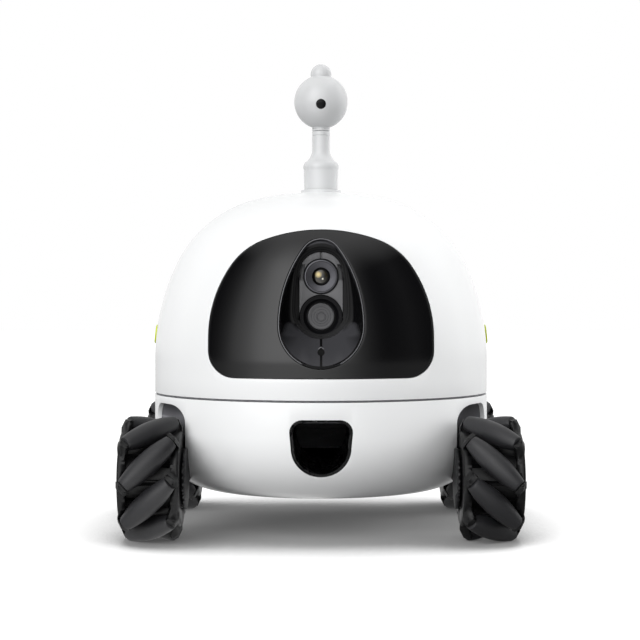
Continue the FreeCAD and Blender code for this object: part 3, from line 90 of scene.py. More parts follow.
def add_node(tree, kind, inputs=None, stops=(), **settings):
    """Add one node. inputs gives a socket a value, or links it to an output or to a node's first
    output, and stops gives a ramp its places and the brightness at each."""
    made = tree.nodes.new("ShaderNode" + kind)
    for name, value in settings.items():
        setattr(made, name, value)
    for socket, value in (inputs or {}).items():
        if isinstance(value, bpy.types.Node):
            value = next(output for output in value.outputs if output.enabled)
        if isinstance(value, bpy.types.NodeSocket):
            tree.links.new(value, made.inputs[socket])
        else:
            made.inputs[socket].default_value = value
    for place, bright in stops[1:-1]:
        made.color_ramp.elements.new(place)
    for element, (place, bright) in zip(made.color_ramp.elements if stops else (), stops):
        element.position = place
        element.color = (bright, bright, bright, 1.0)
    return made


def new_material(name):
    """A material with an empty node tree."""
    material = bpy.data.materials.new(name)
    material.use_nodes = True
    material.node_tree.nodes.clear()
    return material, material.node_tree


# %% [markdown]
# ## Moulded plastics
# Most of this robot is injection moulded. A moulded skin is never one flat colour: the melt
# leaves a faint cloud, a polished tool leaves a slight ripple like orange peel, and a spark
# eroded tool leaves a fine grain. One recipe covers them all, with the sizes of cloud and grain
# given in millimetres.

# %% The recipe for a moulded surface


def moulded(name, colour, second, cloud, rough, spread, grain, depth, specular=0.5):
    """Moulded plastic: two close colours in a cloud, a roughness that wanders, and a grain."""
    material, tree = new_material(name)
    place = add_node(tree, "TexCoord").outputs["Object"]
    patch = add_node(tree, "TexNoise", {
        "Vector": place, "Scale": scale_of(cloud), "Detail": 3.0, "Roughness": 0.55})
    tint = add_node(tree, "Mix", {"Factor": patch, "A": linear(colour), "B": linear(second)},
                    data_type="RGBA")
    gloss = add_node(tree, "MapRange", {"Value": patch, "From Min": 0.3, "From Max": 0.7,
                                        "To Min": rough - spread, "To Max": rough + spread})
    fine = add_node(tree, "TexNoise", {"Vector": place, "Scale": scale_of(grain)})
    bump = add_node(tree, "Bump", {"Height": fine, "Distance": depth * MM})
    shader = add_node(tree, "BsdfPrincipled", {
        "Base Color": tint, "Roughness": gloss, "Normal": bump, "Specular IOR Level": specular})
    add_node(tree, "OutputMaterial", {"Surface": shader})
    return material


# %% [markdown]
# A piece may change its colour over its height, where it faces up, or in one round spot. Below,
# this paints light and shade onto surfaces, and the lens's tint. A share from 0 to 1 is worked out
# from the place or the normal, and the other colour is mixed in by that share.

# %% Another colour in one place


def level(material, source, axis, low, high):
    """Goes from 0 to 1 while one axis of a place (in mm) or of the normal goes from low to high."""
    tree = material.node_tree
    if source == "place":
        vector, unit = add_node(tree, "TexCoord").outputs["Object"], MM
    else:
        vector, unit = add_node(tree, "NewGeometry").outputs["Normal"], 1.0
    part = add_node(tree, "SeparateXYZ", {"Vector": vector})
    return add_node(tree, "MapRange", {
        "Value": part.outputs[axis], "From Min": low * unit, "From Max": high * unit})


def spot(material, x, z, radius, soft):
    """1 in a soft round spot on a surface that faces the front, and 0 round it."""
    tree = material.node_tree
    place = add_node(tree, "TexCoord").outputs["Object"]
    flat = add_node(tree, "VectorMath", {0: place, 1: (1.0, 0.0, 1.0)}, operation="MULTIPLY")
    away = add_node(tree, "VectorMath", {0: flat, 1: (x * MM, 0.0, z * MM)}, operation="DISTANCE")
    return add_node(tree, "MapRange", {
        "Value": away, "From Min": (radius + soft) * MM, "From Max": (radius - soft) * MM})


def recolour(material, share, colour):
    """Lead a surface over to another colour where the share goes from 0 to 1."""
    tree = material.node_tree
    shader = next(node for node in tree.nodes if node.type == "BSDF_PRINCIPLED")
    base = shader.inputs["Base Color"]
    before = base.links[0].from_socket if base.is_linked else tuple(base.default_value)
    mixed = add_node(tree, "Mix", {"Factor": share, "A": before, "B": linear(colour)},
                     data_type="RGBA")
    tree.links.new(mixed.outputs["Result"], base)


# %% [markdown]
# The shells are white gloss ABS from a polished tool: bright, with a sharp highlight and the
# slightest ripple. The antenna's white is satin and painted a little greyer than the dome's: a
# painted shade on the thin stalk and ball. The visor is black ABS, polished further, so that it
# reads as one dark mirror. The tub is black ABS from a spark eroded tool, which gives an even
# matt. Its upper part is painted grey: a painted light on the upper walls of the wheel wells.
# Its grain is drawn coarser than the real tenth of a millimetre, so that it shows.

# %% The body's plastics
# Colour, second colour, cloud in mm, roughness and its spread, grain in mm and its depth in mm.
# An eighth number is the specular level, where it isn't the usual 0.5.
FINISH = {
    "white_shell": moulded("white_gloss_abs", "#F3F4F4", "#EFF0F1", 60, 0.2, 0.03, 3, 0.006),
    "black_gloss": moulded("black_polished_abs", "#08080A", "#0B0B0C", 40, 0.12, 0.02, 4, 0.003),
    "dark_tub": moulded("dark_eroded_abs_painted_light", "#0C0C0E", "#101012", 30, 0.55, 0.05, 0.7, 0.03),
}
# The antenna is painted greyer than the dome's white: a painted shade on the thin stalk and ball.
ANTENNA_PAINTED_SHADE_ABS = moulded("white_satin_abs_painted_shade", "#D2D3D4", "#CDCECF", 30, 0.22, 0.03, 3, 0.006)
# Above these heights in mm the tub is painted grey: a painted light on the upper walls of the
# wells.
TUB_PAINTED_LIGHT_FROM, TUB_PAINTED_LIGHT_FULL = 60, 67
recolour(FINISH["dark_tub"],
         level(FINISH["dark_tub"], "place", "Z", TUB_PAINTED_LIGHT_FROM, TUB_PAINTED_LIGHT_FULL), "#7A7A7E")
print("body:", len(bpy.data.materials), "materials so far")

# %% [markdown]
# The recess and the treat mouth are satin black plastics that swallow light, so their specular
# level is low. Where the recess's floor faces up it is painted grey, a painted light from above,
# and the groove down its middle and the microphone's hole are painted darker, a painted shade.
# The lip round it is painted a lighter grey: a painted highlight along the egg's edge.

# %% The plastics of the recess and the mouth
MIC_Z, MIC_RADIUS = 106.6, 1.9
GROOVE_SHADE_HALF, GROOVE_SHADE_SOFT, GROOVE_SHADE_TOP = 0.65, 0.15, (125, 130)
FACES_UP_PAINTED_LIGHT = (0.25, 0.6)

FUNNEL_ABS_PAINTED_SHADING = moulded("black_satin_abs_painted_shading", "#08080A", "#0B0B0C", 20, 0.22, 0.03, 1, 0.004, 0.12)
# The lip and the microphone's roof are painted a lighter grey: a painted highlight along their
# edges.
PAINTED_HIGHLIGHT_ABS = moulded("grey_abs_painted_highlight", "#5C5C5F", "#58585B", 8, 0.3, 0.04, 0.8, 0.004)
WELL_ABS = moulded("black_matt_abs", "#0B0B0D", "#0E0E10", 10, 0.4, 0.05, 0.8, 0.01, 0.12)
MOUTH_ABS = moulded("black_chute_abs", "#050506", "#070708", 10, 0.25, 0.05, 0.8, 0.01, 0.25)

# Faces of the recess that look up are painted grey: a painted light from above.
recolour(FUNNEL_ABS_PAINTED_SHADING, level(FUNNEL_ABS_PAINTED_SHADING, "normal", "Z", *FACES_UP_PAINTED_LIGHT), "#3C3C3F")
# The groove down the floor's middle is painted darker: a painted shade in the groove.
groove = level(FUNNEL_ABS_PAINTED_SHADING, "place", "Z", GROOVE_SHADE_TOP[1], GROOVE_SHADE_TOP[0])
for side in (1, -1):
    edge = level(FUNNEL_ABS_PAINTED_SHADING, "place", "X", side * (GROOVE_SHADE_HALF + GROOVE_SHADE_SOFT),
                 side * (GROOVE_SHADE_HALF - GROOVE_SHADE_SOFT))
    groove = add_node(FUNNEL_ABS_PAINTED_SHADING.node_tree, "Math", {0: groove, 1: edge}, operation="MULTIPLY")
recolour(FUNNEL_ABS_PAINTED_SHADING, groove, "#060607")
# The microphone's hole is painted near black: a painted shade.
recolour(FUNNEL_ABS_PAINTED_SHADING, spot(FUNNEL_ABS_PAINTED_SHADING, 0, MIC_Z, MIC_RADIUS - 0.05, 0.15), "#030303")

# %% [markdown]
# The pod is grey satin ABS with a fine even grain, the sensor's disc is smoked and polished, and
# the side buttons are lime gloss ABS. Acetal looks waxy, polypropylene milky, and shrunk film
# shiny with small waves. The hubs are nylon filled with glass, which mottles their gloss, and the
# rollers are moulded rubber, a dull dark grey. The pointer's window is black and flat as glass,
# and the board has a green mask over its copper.

# %% The small plastics
FINISH |= {
    "pod_grey": moulded("grey_satin_abs", "#5A5A5C", "#545456", 12, 0.38, 0.04, 0.5, 0.012),
    "sensor": moulded("smoked_polished_abs", "#3E3E41", "#373739", 8, 0.2, 0.03, 0.8, 0.004),
    "lime": moulded("lime_gloss_abs", "#C6D420", "#BECB1B", 10, 0.22, 0.03, 2, 0.004),
    "rotor_plastic": moulded("grey_acetal", "#77777A", "#6E6E71", 10, 0.4, 0.05, 0.8, 0.01),
    "hopper_plastic": moulded("milky_polypropylene", "#C9CBCB", "#C0C2C3", 20, 0.42, 0.05, 1.2,
                              0.01),
    "cell_wrap": moulded("blue_heat_shrink", "#27407E", "#223870", 14, 0.3, 0.05, 1.5, 0.02),
    "hub_black": moulded("black_filled_nylon", "#0A0A0B", "#0F0F10", 3, 0.42, 0.07, 0.6, 0.03, 0.3),
    "roller_rubber": moulded("black_moulded_rubber", "#1C1C1E", "#242426", 9, 0.5, 0.06, 0.5, 0.03),
    "pointer_glass": moulded("black_optical_window", "#050506", "#08080A", 5, 0.06, 0.01, 2, 0.001,
                             0.15),
    "board_green": moulded("green_solder_mask", "#1D6B3A", "#1A6135", 6, 0.35, 0.05, 1.5, 0.01),
}

# %% [markdown]
# Metals keep the default index of refraction, because their colour comes from the base colour
# alone. The screws and the hinge pin are ground steel, bright with fine marks, the motors' cans
# are steel under black oxide, and the lens barrel is turned aluminium, anodised dark.

# %% Metals


def metal(name, colour, rough, brush, depth):
    """Bare metal with fine tool marks that run along X."""
    material, tree = new_material(name)
    place = add_node(tree, "TexCoord").outputs["Object"]
    stretched = add_node(tree, "Mapping", {"Vector": place, "Scale": (0.1, 1.0, 1.0)})
    marks = add_node(tree, "TexNoise", {
        "Vector": stretched, "Scale": scale_of(brush), "Detail": 4.0})
    gloss = add_node(tree, "MapRange", {
        "Value": marks, "To Min": rough * 0.7, "To Max": rough * 1.3})
    bump = add_node(tree, "Bump", {"Height": marks, "Distance": depth * MM})
    shader = add_node(tree, "BsdfPrincipled", {
        "Base Color": linear(colour), "Metallic": 1.0, "Roughness": gloss, "Normal": bump})
    add_node(tree, "OutputMaterial", {"Surface": shader})
    return material


FINISH |= {
    "hinge_steel": metal("ground_steel", "#B9BABC", 0.3, 0.3, 0.004),
    "motor_metal": metal("black_oxide_steel", "#1B1B1D", 0.42, 0.6, 0.004),
    "lens_ring": metal("dark_anodised_aluminium", "#515155", 0.36, 0.25, 0.003),
}

# %% [markdown]
# The front lens is coated, so little light comes back from it: it is dark, with a brownish tint.
# On it lie a painted gold highlight on one side and a painted glint on the other. These are soft
# round spots, one laid over the other.

# %% The lens's glass
LENS_Z = 148.5
# Colour, across and up from the lens's middle in mm, radius and softness: a brownish tint, its
# darker middle, a painted gold highlight and a painted glint.
LENS_TINT_AND_PAINTED_GLINTS = [("#2E2816", 0, 0, 3.4, 0.5), ("#0C0A05", 0.3, -0.3, 2.3, 0.4),
              ("#D9C17A", -1.5, 1.1, 1.3, 0.8), ("#FFFBEA", 0.9, -1.3, 0.45, 0.3)]

FINISH["lens_glass"], tree = new_material("coated_glass_painted_glints")
shader = add_node(tree, "BsdfPrincipled", {
    "Base Color": linear("#070604"), "Roughness": 0.15, "IOR": 1.52, "Coat Weight": 0.5,
    "Coat Roughness": 0.02})
add_node(tree, "OutputMaterial", {"Surface": shader})
for colour, across, up, radius, soft in LENS_TINT_AND_PAINTED_GLINTS:
    share = spot(FINISH["lens_glass"], across, LENS_Z + up, radius, soft)
    recolour(FINISH["lens_glass"], share, colour)
print("finishes:", ", ".join(sorted(FINISH)))

# %% [markdown]
# ## Tools for modelling
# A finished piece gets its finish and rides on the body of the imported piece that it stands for.
#
# Everything that is round or has an outline here starts the same way: one vertex is placed and
# extruded from point to point, as a pen would go. A closed line becomes a face, or is bridged to
# another, and an open one is spun round an axis. Outlines are written in millimetres, as the real
# drawings are, so one factor turns them into metres at the moment a vertex is placed.

# %% Select, place and settle


def select_only(*chosen):
    """Select these objects and nothing else, because an operator acts on all that is selected."""
    if bpy.context.object and bpy.context.object.mode != "OBJECT":
        bpy.ops.object.mode_set(mode="OBJECT")
    bpy.ops.object.select_all(action="DESELECT")
    for item in chosen:
        item.select_set(True)
    bpy.context.view_layer.objects.active = chosen[-1] if chosen else None


def open_up(piece):
    """Take a piece into edit mode."""
    select_only(piece)
    bpy.ops.object.mode_set(mode="EDIT")


def placed(name, data):
    """A new object at the origin."""
    made = bpy.data.objects.new(name, data)
    bpy.context.scene.collection.objects.link(made)
    return made


def settle(piece, node=None, body="root", slot=None, finish=None):
    """Give a finished piece its finish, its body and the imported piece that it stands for."""
    if node:
        body, slot = BODY_OF[node], SLOT_OF[node]
    piece.data.materials.clear()
    piece.data.materials.append(finish or FINISH[slot])
    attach(piece, body)
    if node:
        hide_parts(node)
    print(piece.name, "has", len(piece.data.polygons), "faces and rides on", body)


# %% Lines and arcs, in millimetres


def arc(centre, radius, start, end, chord=1.6):
    """Points of an arc between two angles in degrees, with both ends, and chords that short."""
    turn = math.radians(end - start)
    count = max(4, math.ceil(abs(turn) * radius / chord))
    angles = [math.radians(start) + turn * step / count for step in range(count + 1)]
    return [(centre[0] + radius * math.cos(angle), centre[1] + radius * math.sin(angle))
            for angle in angles]


def mirrored(half):
    """A closed outline from its right half, drawn from the middle below to the middle above."""
    return half + [(-x, z) for x, z in reversed(half[1:-1])]


def evened(outline, count):
    """The closed outline again, with that many points evenly spaced along it."""
    ring = [Vector(point) for point in outline] + [Vector(outline[0])]
    spans = [(after - before).length for before, after in zip(ring, ring[1:])]
    total, found, place, walked = sum(spans), [], 0, 0.0
    for step in range(count):
        target = total * step / count
        while place < len(spans) - 1 and walked + spans[place] < target:
            walked += spans[place]
            place += 1
        share = (target - walked) / spans[place] if spans[place] else 0.0
        found.append(tuple(ring[place].lerp(ring[place + 1], share)))
    return found


def upright(points, y=0.0):
    """Points of an outline that stands in the XZ plane."""
    return [Vector((x, y, z)) for x, z in points]


# %% Trace, close up and shade


def pen(points):
    """In edit mode: one vertex at the first point, extruded through the others."""
    bpy.ops.mesh.select_all(action="DESELECT")
    bpy.ops.mesh.primitive_plane_add(size=MM, location=points[0] * MM)
    bpy.ops.mesh.merge(type="CENTER")
    for before, after in zip(points, points[1:]):
        step = (after - before) * MM
        bpy.ops.mesh.extrude_vertices_move(TRANSFORM_OT_translate={"value": step})


def new_piece(name, *lines):
    """A new mesh in edit mode, with these lines traced in it and everything selected."""
    select_only()
    bpy.ops.mesh.primitive_plane_add(size=MM)
    piece = bpy.context.object
    piece.name = piece.data.name = name
    bpy.ops.object.mode_set(mode="EDIT")
    bpy.ops.mesh.select_all(action="SELECT")
    bpy.ops.mesh.delete(type="VERT")
    for line in lines:
        pen(line)
    bpy.ops.mesh.select_all(action="SELECT")
    return piece


def close_up(merge=0.002):
    """Merge what lies together, turn every face outwards and leave edit mode."""
    bpy.ops.mesh.select_all(action="SELECT")
    bpy.ops.mesh.remove_doubles(threshold=merge * MM)
    bpy.ops.mesh.normals_make_consistent(inside=False)
    bpy.ops.object.mode_set(mode="OBJECT")


def apply_modifier(piece, kind, **settings):
    """Finish a piece with a modifier, applied at once."""
    modifier = piece.modifiers.new(kind.lower(), kind)
    for name, value in settings.items():
        setattr(modifier, name, value)
    select_only(piece)
    bpy.ops.object.modifier_apply(modifier=modifier.name)
    return piece


def walled(piece, thickness):
    """Give an open skin a wall inwards."""
    return apply_modifier(piece, "SOLIDIFY", thickness=thickness * MM, offset=-1)


def smooth(piece, angle=35):
    """Shade a piece smooth, except across edges sharper than the angle."""
    select_only(piece)
    bpy.ops.object.shade_smooth_by_angle(angle=math.radians(angle))
    return piece


def rounded(piece, width, segments=3):
    """Round every real edge, once the short edges that would jam the bevel are merged away."""
    open_up(piece)
    close_up(merge=width * 0.4)
    return apply_modifier(piece, "BEVEL", width=width * MM, segments=segments,
                          limit_method="ANGLE", angle_limit=math.radians(40),
                          use_clamp_overlap=True)


# %% Solids from a line, bars and blocks


def spun(name, points, steps=96):
    """Spin a half outline of (radius, height) round the Z axis."""
    piece = new_piece(name, upright(points))
    bpy.ops.mesh.spin(steps=steps, angle=math.tau, center=(0, 0, 0), axis=(0, 0, 1))
    close_up()
    return piece


def closed_spin(name, points, steps=96):
    """Spin a closed half outline."""
    return spun(name, points + [points[0]], steps)


def prism(name, outline, start, depth):
    """A closed outline in XZ, filled and extruded along Y."""
    points = upright(outline, start)
    piece = new_piece(name, points + [points[0]])
    bpy.ops.mesh.remove_doubles(threshold=0.001 * MM)
    bpy.ops.mesh.edge_face_add()
    bpy.ops.mesh.extrude_region_move(TRANSFORM_OT_translate={"value": (0, depth * MM, 0)})
    close_up()
    return piece


def applied(name):
    """Name the primitive that was just added, and apply its place, turn and size."""
    bpy.ops.object.transform_apply(location=True, rotation=True, scale=True)
    piece = bpy.context.object
    piece.name = piece.data.name = name
    return piece


def rod(name, radius, start, end, axis="X", centre=(0, 0, 0), vertices=48):
    """A round bar between two places along an axis."""
    turn = {"X": (0, math.pi / 2, 0), "Y": (math.pi / 2, 0, 0), "Z": (0, 0, 0)}[axis]
    middle = Vector(centre)
    middle["XYZ".index(axis)] = (start + end) / 2
    select_only()
    bpy.ops.mesh.primitive_cylinder_add(vertices=vertices, radius=radius * MM, rotation=turn,
                                        depth=abs(end - start) * MM, location=middle * MM)
    return applied(name)


def block(name, low, high):
    """A plain block between two corners."""
    low, high = Vector(low), Vector(high)
    select_only()
    bpy.ops.mesh.primitive_cube_add(size=MM, location=(low + high) / 2 * MM, scale=high - low)
    return applied(name)


def turned_to(piece, axis, degrees, shift=(0, 0, 0)):
    """Turn and move a piece in its own mesh, so that its object stays at the origin."""
    turn = Matrix.Rotation(math.radians(degrees), 4, axis)
    piece.data.transform(Matrix.Translation(Vector(shift) * MM) @ turn)
    return piece


def cut_away(piece, *tools):
    """Cut the tools out of a piece, and delete them."""
    for tool in tools:
        apply_modifier(piece, "BOOLEAN", operation="DIFFERENCE", solver="EXACT", object=tool)
        bpy.data.objects.remove(tool)
    return piece


def joined(piece, *others):
    """One mesh from several: the first keeps its name."""
    select_only(*others, piece)
    bpy.ops.object.join()
    return piece


# %% [markdown]
# ## The dome
# The real dome is one moulding with a wall of 2.4 mm. Its outline is three arcs that run into
# each other: an upright side that leans in, a tight shoulder and a flat crown. It is spun, given
# its wall inwards, and then the windows are cut: a D for the visor, a rounded rectangle for the
# lid, two small ones for the buttons and a round hole for the antenna. The edges are rounded
# last, because a moulded edge is never sharp, and a small round catches the light.

# %% The dome's sizes and its skin
BODY = 100.0
SEAM, SEAM_GAP, WALL = 80.0, 1.2, 2.4
SIDE_START, SIDE_RADIUS, SIDE_ANGLE = 99.7, 134.2, 25.1
SHOULDER_RADIUS, CROWN_ANGLE = 71.9, 77.4
SIDE_X = BODY - SIDE_RADIUS
SHOULDER_X = SIDE_X + (SIDE_RADIUS - SHOULDER_RADIUS) * math.cos(math.radians(SIDE_ANGLE))
SHOULDER_Z = SIDE_START + (SIDE_RADIUS - SHOULDER_RADIUS) * math.sin(math.radians(SIDE_ANGLE))
CROWN_RADIUS = SHOULDER_RADIUS + SHOULDER_X / math.cos(math.radians(CROWN_ANGLE))
CROWN_Z = SHOULDER_Z - (CROWN_RADIUS - SHOULDER_RADIUS) * math.sin(math.radians(CROWN_ANGLE))
APEX = CROWN_Z + CROWN_RADIUS
print("the dome's apex is", round(APEX, 1), "mm above the floor")


def skin_radius(z, inset):
    """The dome's radius at a height, that far inside its skin."""
    side, shoulder = SIDE_RADIUS - inset, SHOULDER_RADIUS - inset
    if z <= SIDE_START:
        return BODY - inset
    if z <= SIDE_START + side * math.sin(math.radians(SIDE_ANGLE)):
        return SIDE_X + math.sqrt(side ** 2 - (z - SIDE_START) ** 2)
    if z <= SHOULDER_Z + shoulder * math.sin(math.radians(CROWN_ANGLE)):
        return SHOULDER_X + math.sqrt(shoulder ** 2 - (z - SHOULDER_Z) ** 2)
    return math.sqrt(max((CROWN_RADIUS - inset) ** 2 - (z - CROWN_Z) ** 2, 0.0))


def skin_depth(x, z, inset=0.0):
    """How far in front of the middle the dome's skin is, at a place seen from the front."""
    return math.sqrt(max(skin_radius(z, inset) ** 2 - x * x, 0.0))


# %% The windows' outlines
VISOR_HALF, VISOR_LOW, VISOR_CORNER = 63.0, 92.3, 15.0
VISOR_SIDE_START, VISOR_SIDE, VISOR_SIDE_ANGLE = 115.0, 70.0, 35.0
VISOR_SHOULDER, VISOR_CROWN_ANGLE = 38.0, 70.0
EGG_HALF, EGG_MIDDLE, EGG_TOP, EGG_TIP = 23.7, 121.4, 169.8, 12.0
LID_HALF, LID_LOW, LID_HIGH, LID_CORNER, LID_GAP = 34.0, 120.0, 178.0, 12.0, 0.5
BUTTON_HALF, BUTTON_LOW, BUTTON_HIGH, BUTTON_CORNER, BUTTON_GAP = 9.0, 109.0, 121.0, 5.0, 0.3


def visor_outline(grow):
    """The D of the visor, grown evenly."""
    side_x = VISOR_HALF - VISOR_SIDE
    lean, crown = math.radians(VISOR_SIDE_ANGLE), math.radians(VISOR_CROWN_ANGLE)
    turn_x = side_x + (VISOR_SIDE - VISOR_SHOULDER) * math.cos(lean)
    turn_z = VISOR_SIDE_START + (VISOR_SIDE - VISOR_SHOULDER) * math.sin(lean)
    top = VISOR_SHOULDER + turn_x / math.cos(crown)
    top_z = turn_z - (top - VISOR_SHOULDER) * math.sin(crown)
    corner = (VISOR_HALF - VISOR_CORNER, VISOR_LOW + VISOR_CORNER)
    half = [(0.0, VISOR_LOW - grow)] + arc(corner, VISOR_CORNER + grow, -90, 0)
    half += arc((side_x, VISOR_SIDE_START), VISOR_SIDE + grow, 0, VISOR_SIDE_ANGLE)
    half += arc((turn_x, turn_z), VISOR_SHOULDER + grow, VISOR_SIDE_ANGLE, VISOR_CROWN_ANGLE)[1:]
    half += arc((0, top_z), top + grow, VISOR_CROWN_ANGLE, 90)[1:]
    return mirrored(half)


def egg_outline(grow, half=EGG_HALF, middle=EGG_MIDDLE, top=EGG_TOP, tip=EGG_TIP):
    """An egg, grown evenly: the camera's recess, where its sizes aren't given."""
    rise, slack = top - tip - middle, half - tip
    offset = (rise * rise - slack * slack) / (2 * slack)
    meet = math.degrees(math.atan2(rise, offset))
    right = arc((0, middle), half + grow, -90, 0)
    right += arc((-offset, middle), offset + half + grow, 0, meet)[1:]
    right += arc((0, top - tip), tip + grow, meet, 90)[1:]
    return mirrored(right)


def rounded_box(half, low, high, corner, grow=0.0):
    """A rounded rectangle about the middle plane, grown evenly."""
    half, low, high, corner = half + grow, low - grow, high + grow, corner + grow
    right = [(0.0, low)] + arc((half - corner, low + corner), corner, -90, 0)
    right += arc((half - corner, high - corner), corner, 0, 90) + [(0.0, high)]
    return mirrored(right)


# %% Spin the dome and cut its windows
HOLE_REACH = 120.0
ANTENNA_HOLE, ANTENNA_HOLE_LOW, ANTENNA_HOLE_HIGH = 7.7, 150, 230
EDGE_ROUND = 0.45
LID_SHAPE = (LID_HALF, LID_LOW, LID_HIGH, LID_CORNER)
BUTTON_SHAPE = (BUTTON_HALF, BUTTON_LOW, BUTTON_HIGH, BUTTON_CORNER)

side = arc((SIDE_X, SIDE_START), SIDE_RADIUS, 0, SIDE_ANGLE)
shoulder = arc((SHOULDER_X, SHOULDER_Z), SHOULDER_RADIUS, SIDE_ANGLE, CROWN_ANGLE)
crown = arc((0, CROWN_Z), CROWN_RADIUS, CROWN_ANGLE, 90)
dome = spun("dome_shell", [(BODY, SEAM + SEAM_GAP / 2), (BODY, 90.0)] + side + shoulder[1:]
            + crown[1:], steps=180)
walled(dome, WALL)
button_hole = prism("button_hole", rounded_box(*BUTTON_SHAPE), -HOLE_REACH, 2 * HOLE_REACH)
cut_away(dome,
         prism("visor_hole", visor_outline(0.1), -HOLE_REACH, HOLE_REACH - 10),
         prism("lid_hole", rounded_box(*LID_SHAPE, LID_GAP), 40.0, HOLE_REACH),
         turned_to(button_hole, "Z", 90),
         rod("antenna_hole", ANTENNA_HOLE, ANTENNA_HOLE_LOW, ANTENNA_HOLE_HIGH, axis="Z"))
rounded(dome, EDGE_ROUND)

# %% Add the hinge's outer knuckles
HINGE_Y, HINGE_Z = 98.8, 117.5
KNUCKLE, KNUCKLE_MIDDLE, KNUCKLE_GAP, KNUCKLE_END, KNUCKLE_ROUND = 2.6, 5.75, 0.5, 16.0, 0.3


def knuckle(name, low, high):
    """A piece of the hinge's barrel."""
    return rounded(rod(name, KNUCKLE, low, high, centre=(0, HINGE_Y, HINGE_Z)), KNUCKLE_ROUND)


joined(dome, knuckle("knuckle_left", KNUCKLE_MIDDLE + KNUCKLE_GAP, KNUCKLE_END),
       knuckle("knuckle_right", -KNUCKLE_END, -KNUCKLE_MIDDLE - KNUCKLE_GAP))
settle(smooth(dome), "upper_shell")

# %% [markdown]
# ## The bowl
# The bowl is the dome's partner below the seam: an upright side that turns through a quarter
# circle into a flat belly. Four round-cornered boxes cut the wheel arches out of it, and an
# upright outline, flat above and round below, cuts the treat mouth.

# %% Spin the bowl and cut its arches and its mouth
BELLY, BOWL_TURN = 23.0, 37.0
WELL_INNER, WELL_END, WELL_TOP, WELL_ROUND, WELL_REACH = 77.0, 27.0, 75.5, 10.0, 130.0
CHUTE_HALF, CHUTE_TOP, CHUTE_LOW, CHUTE_CORNER, CHUTE_ROUND = 17.4, 70.0, 38.0, 7.0, 16.6


def arch_tool(side, end):
    """The space of one wheel arch, with every edge rounded."""
    x, y = (sorted((sign * near, sign * WELL_REACH))
            for sign, near in ((side, WELL_INNER), (end, WELL_END)))
    piece = block(f"arch_{side}_{end}", (x[0], y[0], 0.0), (x[1], y[1], WELL_TOP))
    return apply_modifier(piece, "BEVEL", width=WELL_ROUND * MM, segments=10)


mouth = arc((0, CHUTE_LOW + CHUTE_ROUND), CHUTE_ROUND, -90, 0)
mouth += arc((CHUTE_HALF - CHUTE_CORNER, CHUTE_TOP - CHUTE_CORNER), CHUTE_CORNER, 0, 90)
turn = arc((BODY - BOWL_TURN, BELLY + BOWL_TURN), BOWL_TURN, -90, 0)
bowl = spun("bowl_shell", [(0.0, BELLY)] + turn + [(BODY, SEAM - SEAM_GAP / 2)], steps=180)
walled(bowl, WALL)
cut_away(bowl, prism("mouth_hole", mirrored(mouth + [(0.0, CHUTE_TOP)]), -HOLE_REACH, HOLE_REACH),
         *[arch_tool(side, end) for side in (1, -1) for end in (1, -1)])

# %% [markdown]
# Underneath, a fine seam outlines the battery's door, and four socket screws sit in round
# recesses.

# %% The belly's seam and screws
DOOR_SHAPE = (36.0, -28.0, 28.0, 7.0)
DOOR_SEAM, DOOR_SEAM_DEPTH = 0.7, 0.5
SCREW_PLACES = [(x, y, 0) for x in (-44, 44) for y in (-34, 34)]
SCREW, SCREW_HEIGHT, SCREW_START, RECESS = 2.8, -1.2, BELLY + 1.3, 3.3


def socket_screw(name, radius, height, start, axis, centre):
    """A socket head screw that stands on start and looks along an axis, up or down it."""
    end = start + height
    head = rounded(rod(name, radius, start, end, axis, centre, 32), 0.12 * radius, 2)
    socket = rod(name + "_socket", 0.5 * radius, end - 0.5 * height, end + math.copysign(1, height),
                 axis, centre, 6)
    return smooth(cut_away(head, socket), 30)


seam = prism("door_seam", rounded_box(*DOOR_SHAPE), BELLY - 1, 1 + DOOR_SEAM_DEPTH)
cut_away(seam, prism("door_middle", rounded_box(*DOOR_SHAPE, -DOOR_SEAM), BELLY - 2, 4))
cut_away(bowl, turned_to(seam, "X", 90),
         *[rod("screw_recess", RECESS, BELLY - 1, BELLY + 1, "Z", place) for place in SCREW_PLACES])
settle(smooth(rounded(bowl, EDGE_ROUND)), "lower_shell")
settle(joined(*[socket_screw("belly_screws", SCREW, SCREW_HEIGHT, SCREW_START, "Z", place)
                for place in SCREW_PLACES]), slot="hinge_steel")

# %% [markdown]
# ## The visor
# The visor is a black panel that continues the dome's skin, so it is drawn flat, as a D with an
# egg cut out of it, and then pushed back onto the skin. Bridging the two outlines with many cuts
# gives rings of even faces between them, and even faces are what makes a polished black part look
# calm.

# %% Bands of faces between rings


def pick(piece, numbers):
    """In edit mode: select these vertices and the edges between them."""
    bpy.ops.mesh.select_all(action="DESELECT")
    body = bmesh.from_edit_mesh(piece.data)
    body.verts.ensure_lookup_table()
    for number in numbers:
        body.verts[number].select = True
    body.select_flush(True)
    bmesh.update_edit_mesh(piece.data)


def banded(name, rings, cuts=None, closed=False):
    """Bands of faces from ring to ring. cuts gives a band, by its number, that many cuts."""
    count = len(rings[0])
    piece = new_piece(name, *rings)
    for number in range(len(rings)):
        pick(piece, (number * count, (number + 1) * count - 1))
        bpy.ops.mesh.edge_face_add()
    for number in range(len(rings) if closed else len(rings) - 1):
        after = (number + 1) % len(rings) * count
        pick(piece, [*range(number * count, (number + 1) * count), *range(after, after + count)])
        bpy.ops.mesh.bridge_edge_loops(type="SINGLE", number_cuts=(cuts or {}).get(number, 0),
                                       interpolation="LINEAR")
    bpy.ops.mesh.select_all(action="SELECT")
    return piece


def laid_on_skin(piece, inset=0.0):
    """Push a flat piece along Y onto the dome, and turn its faces to the front."""
    for vertex in piece.data.vertices:
        vertex.co.y = -skin_depth(vertex.co.x / MM, vertex.co.z / MM, inset) * MM
    piece.data.update()
    if piece.data.polygons[0].normal.y > 0:
        piece.data.flip_normals()
    return piece


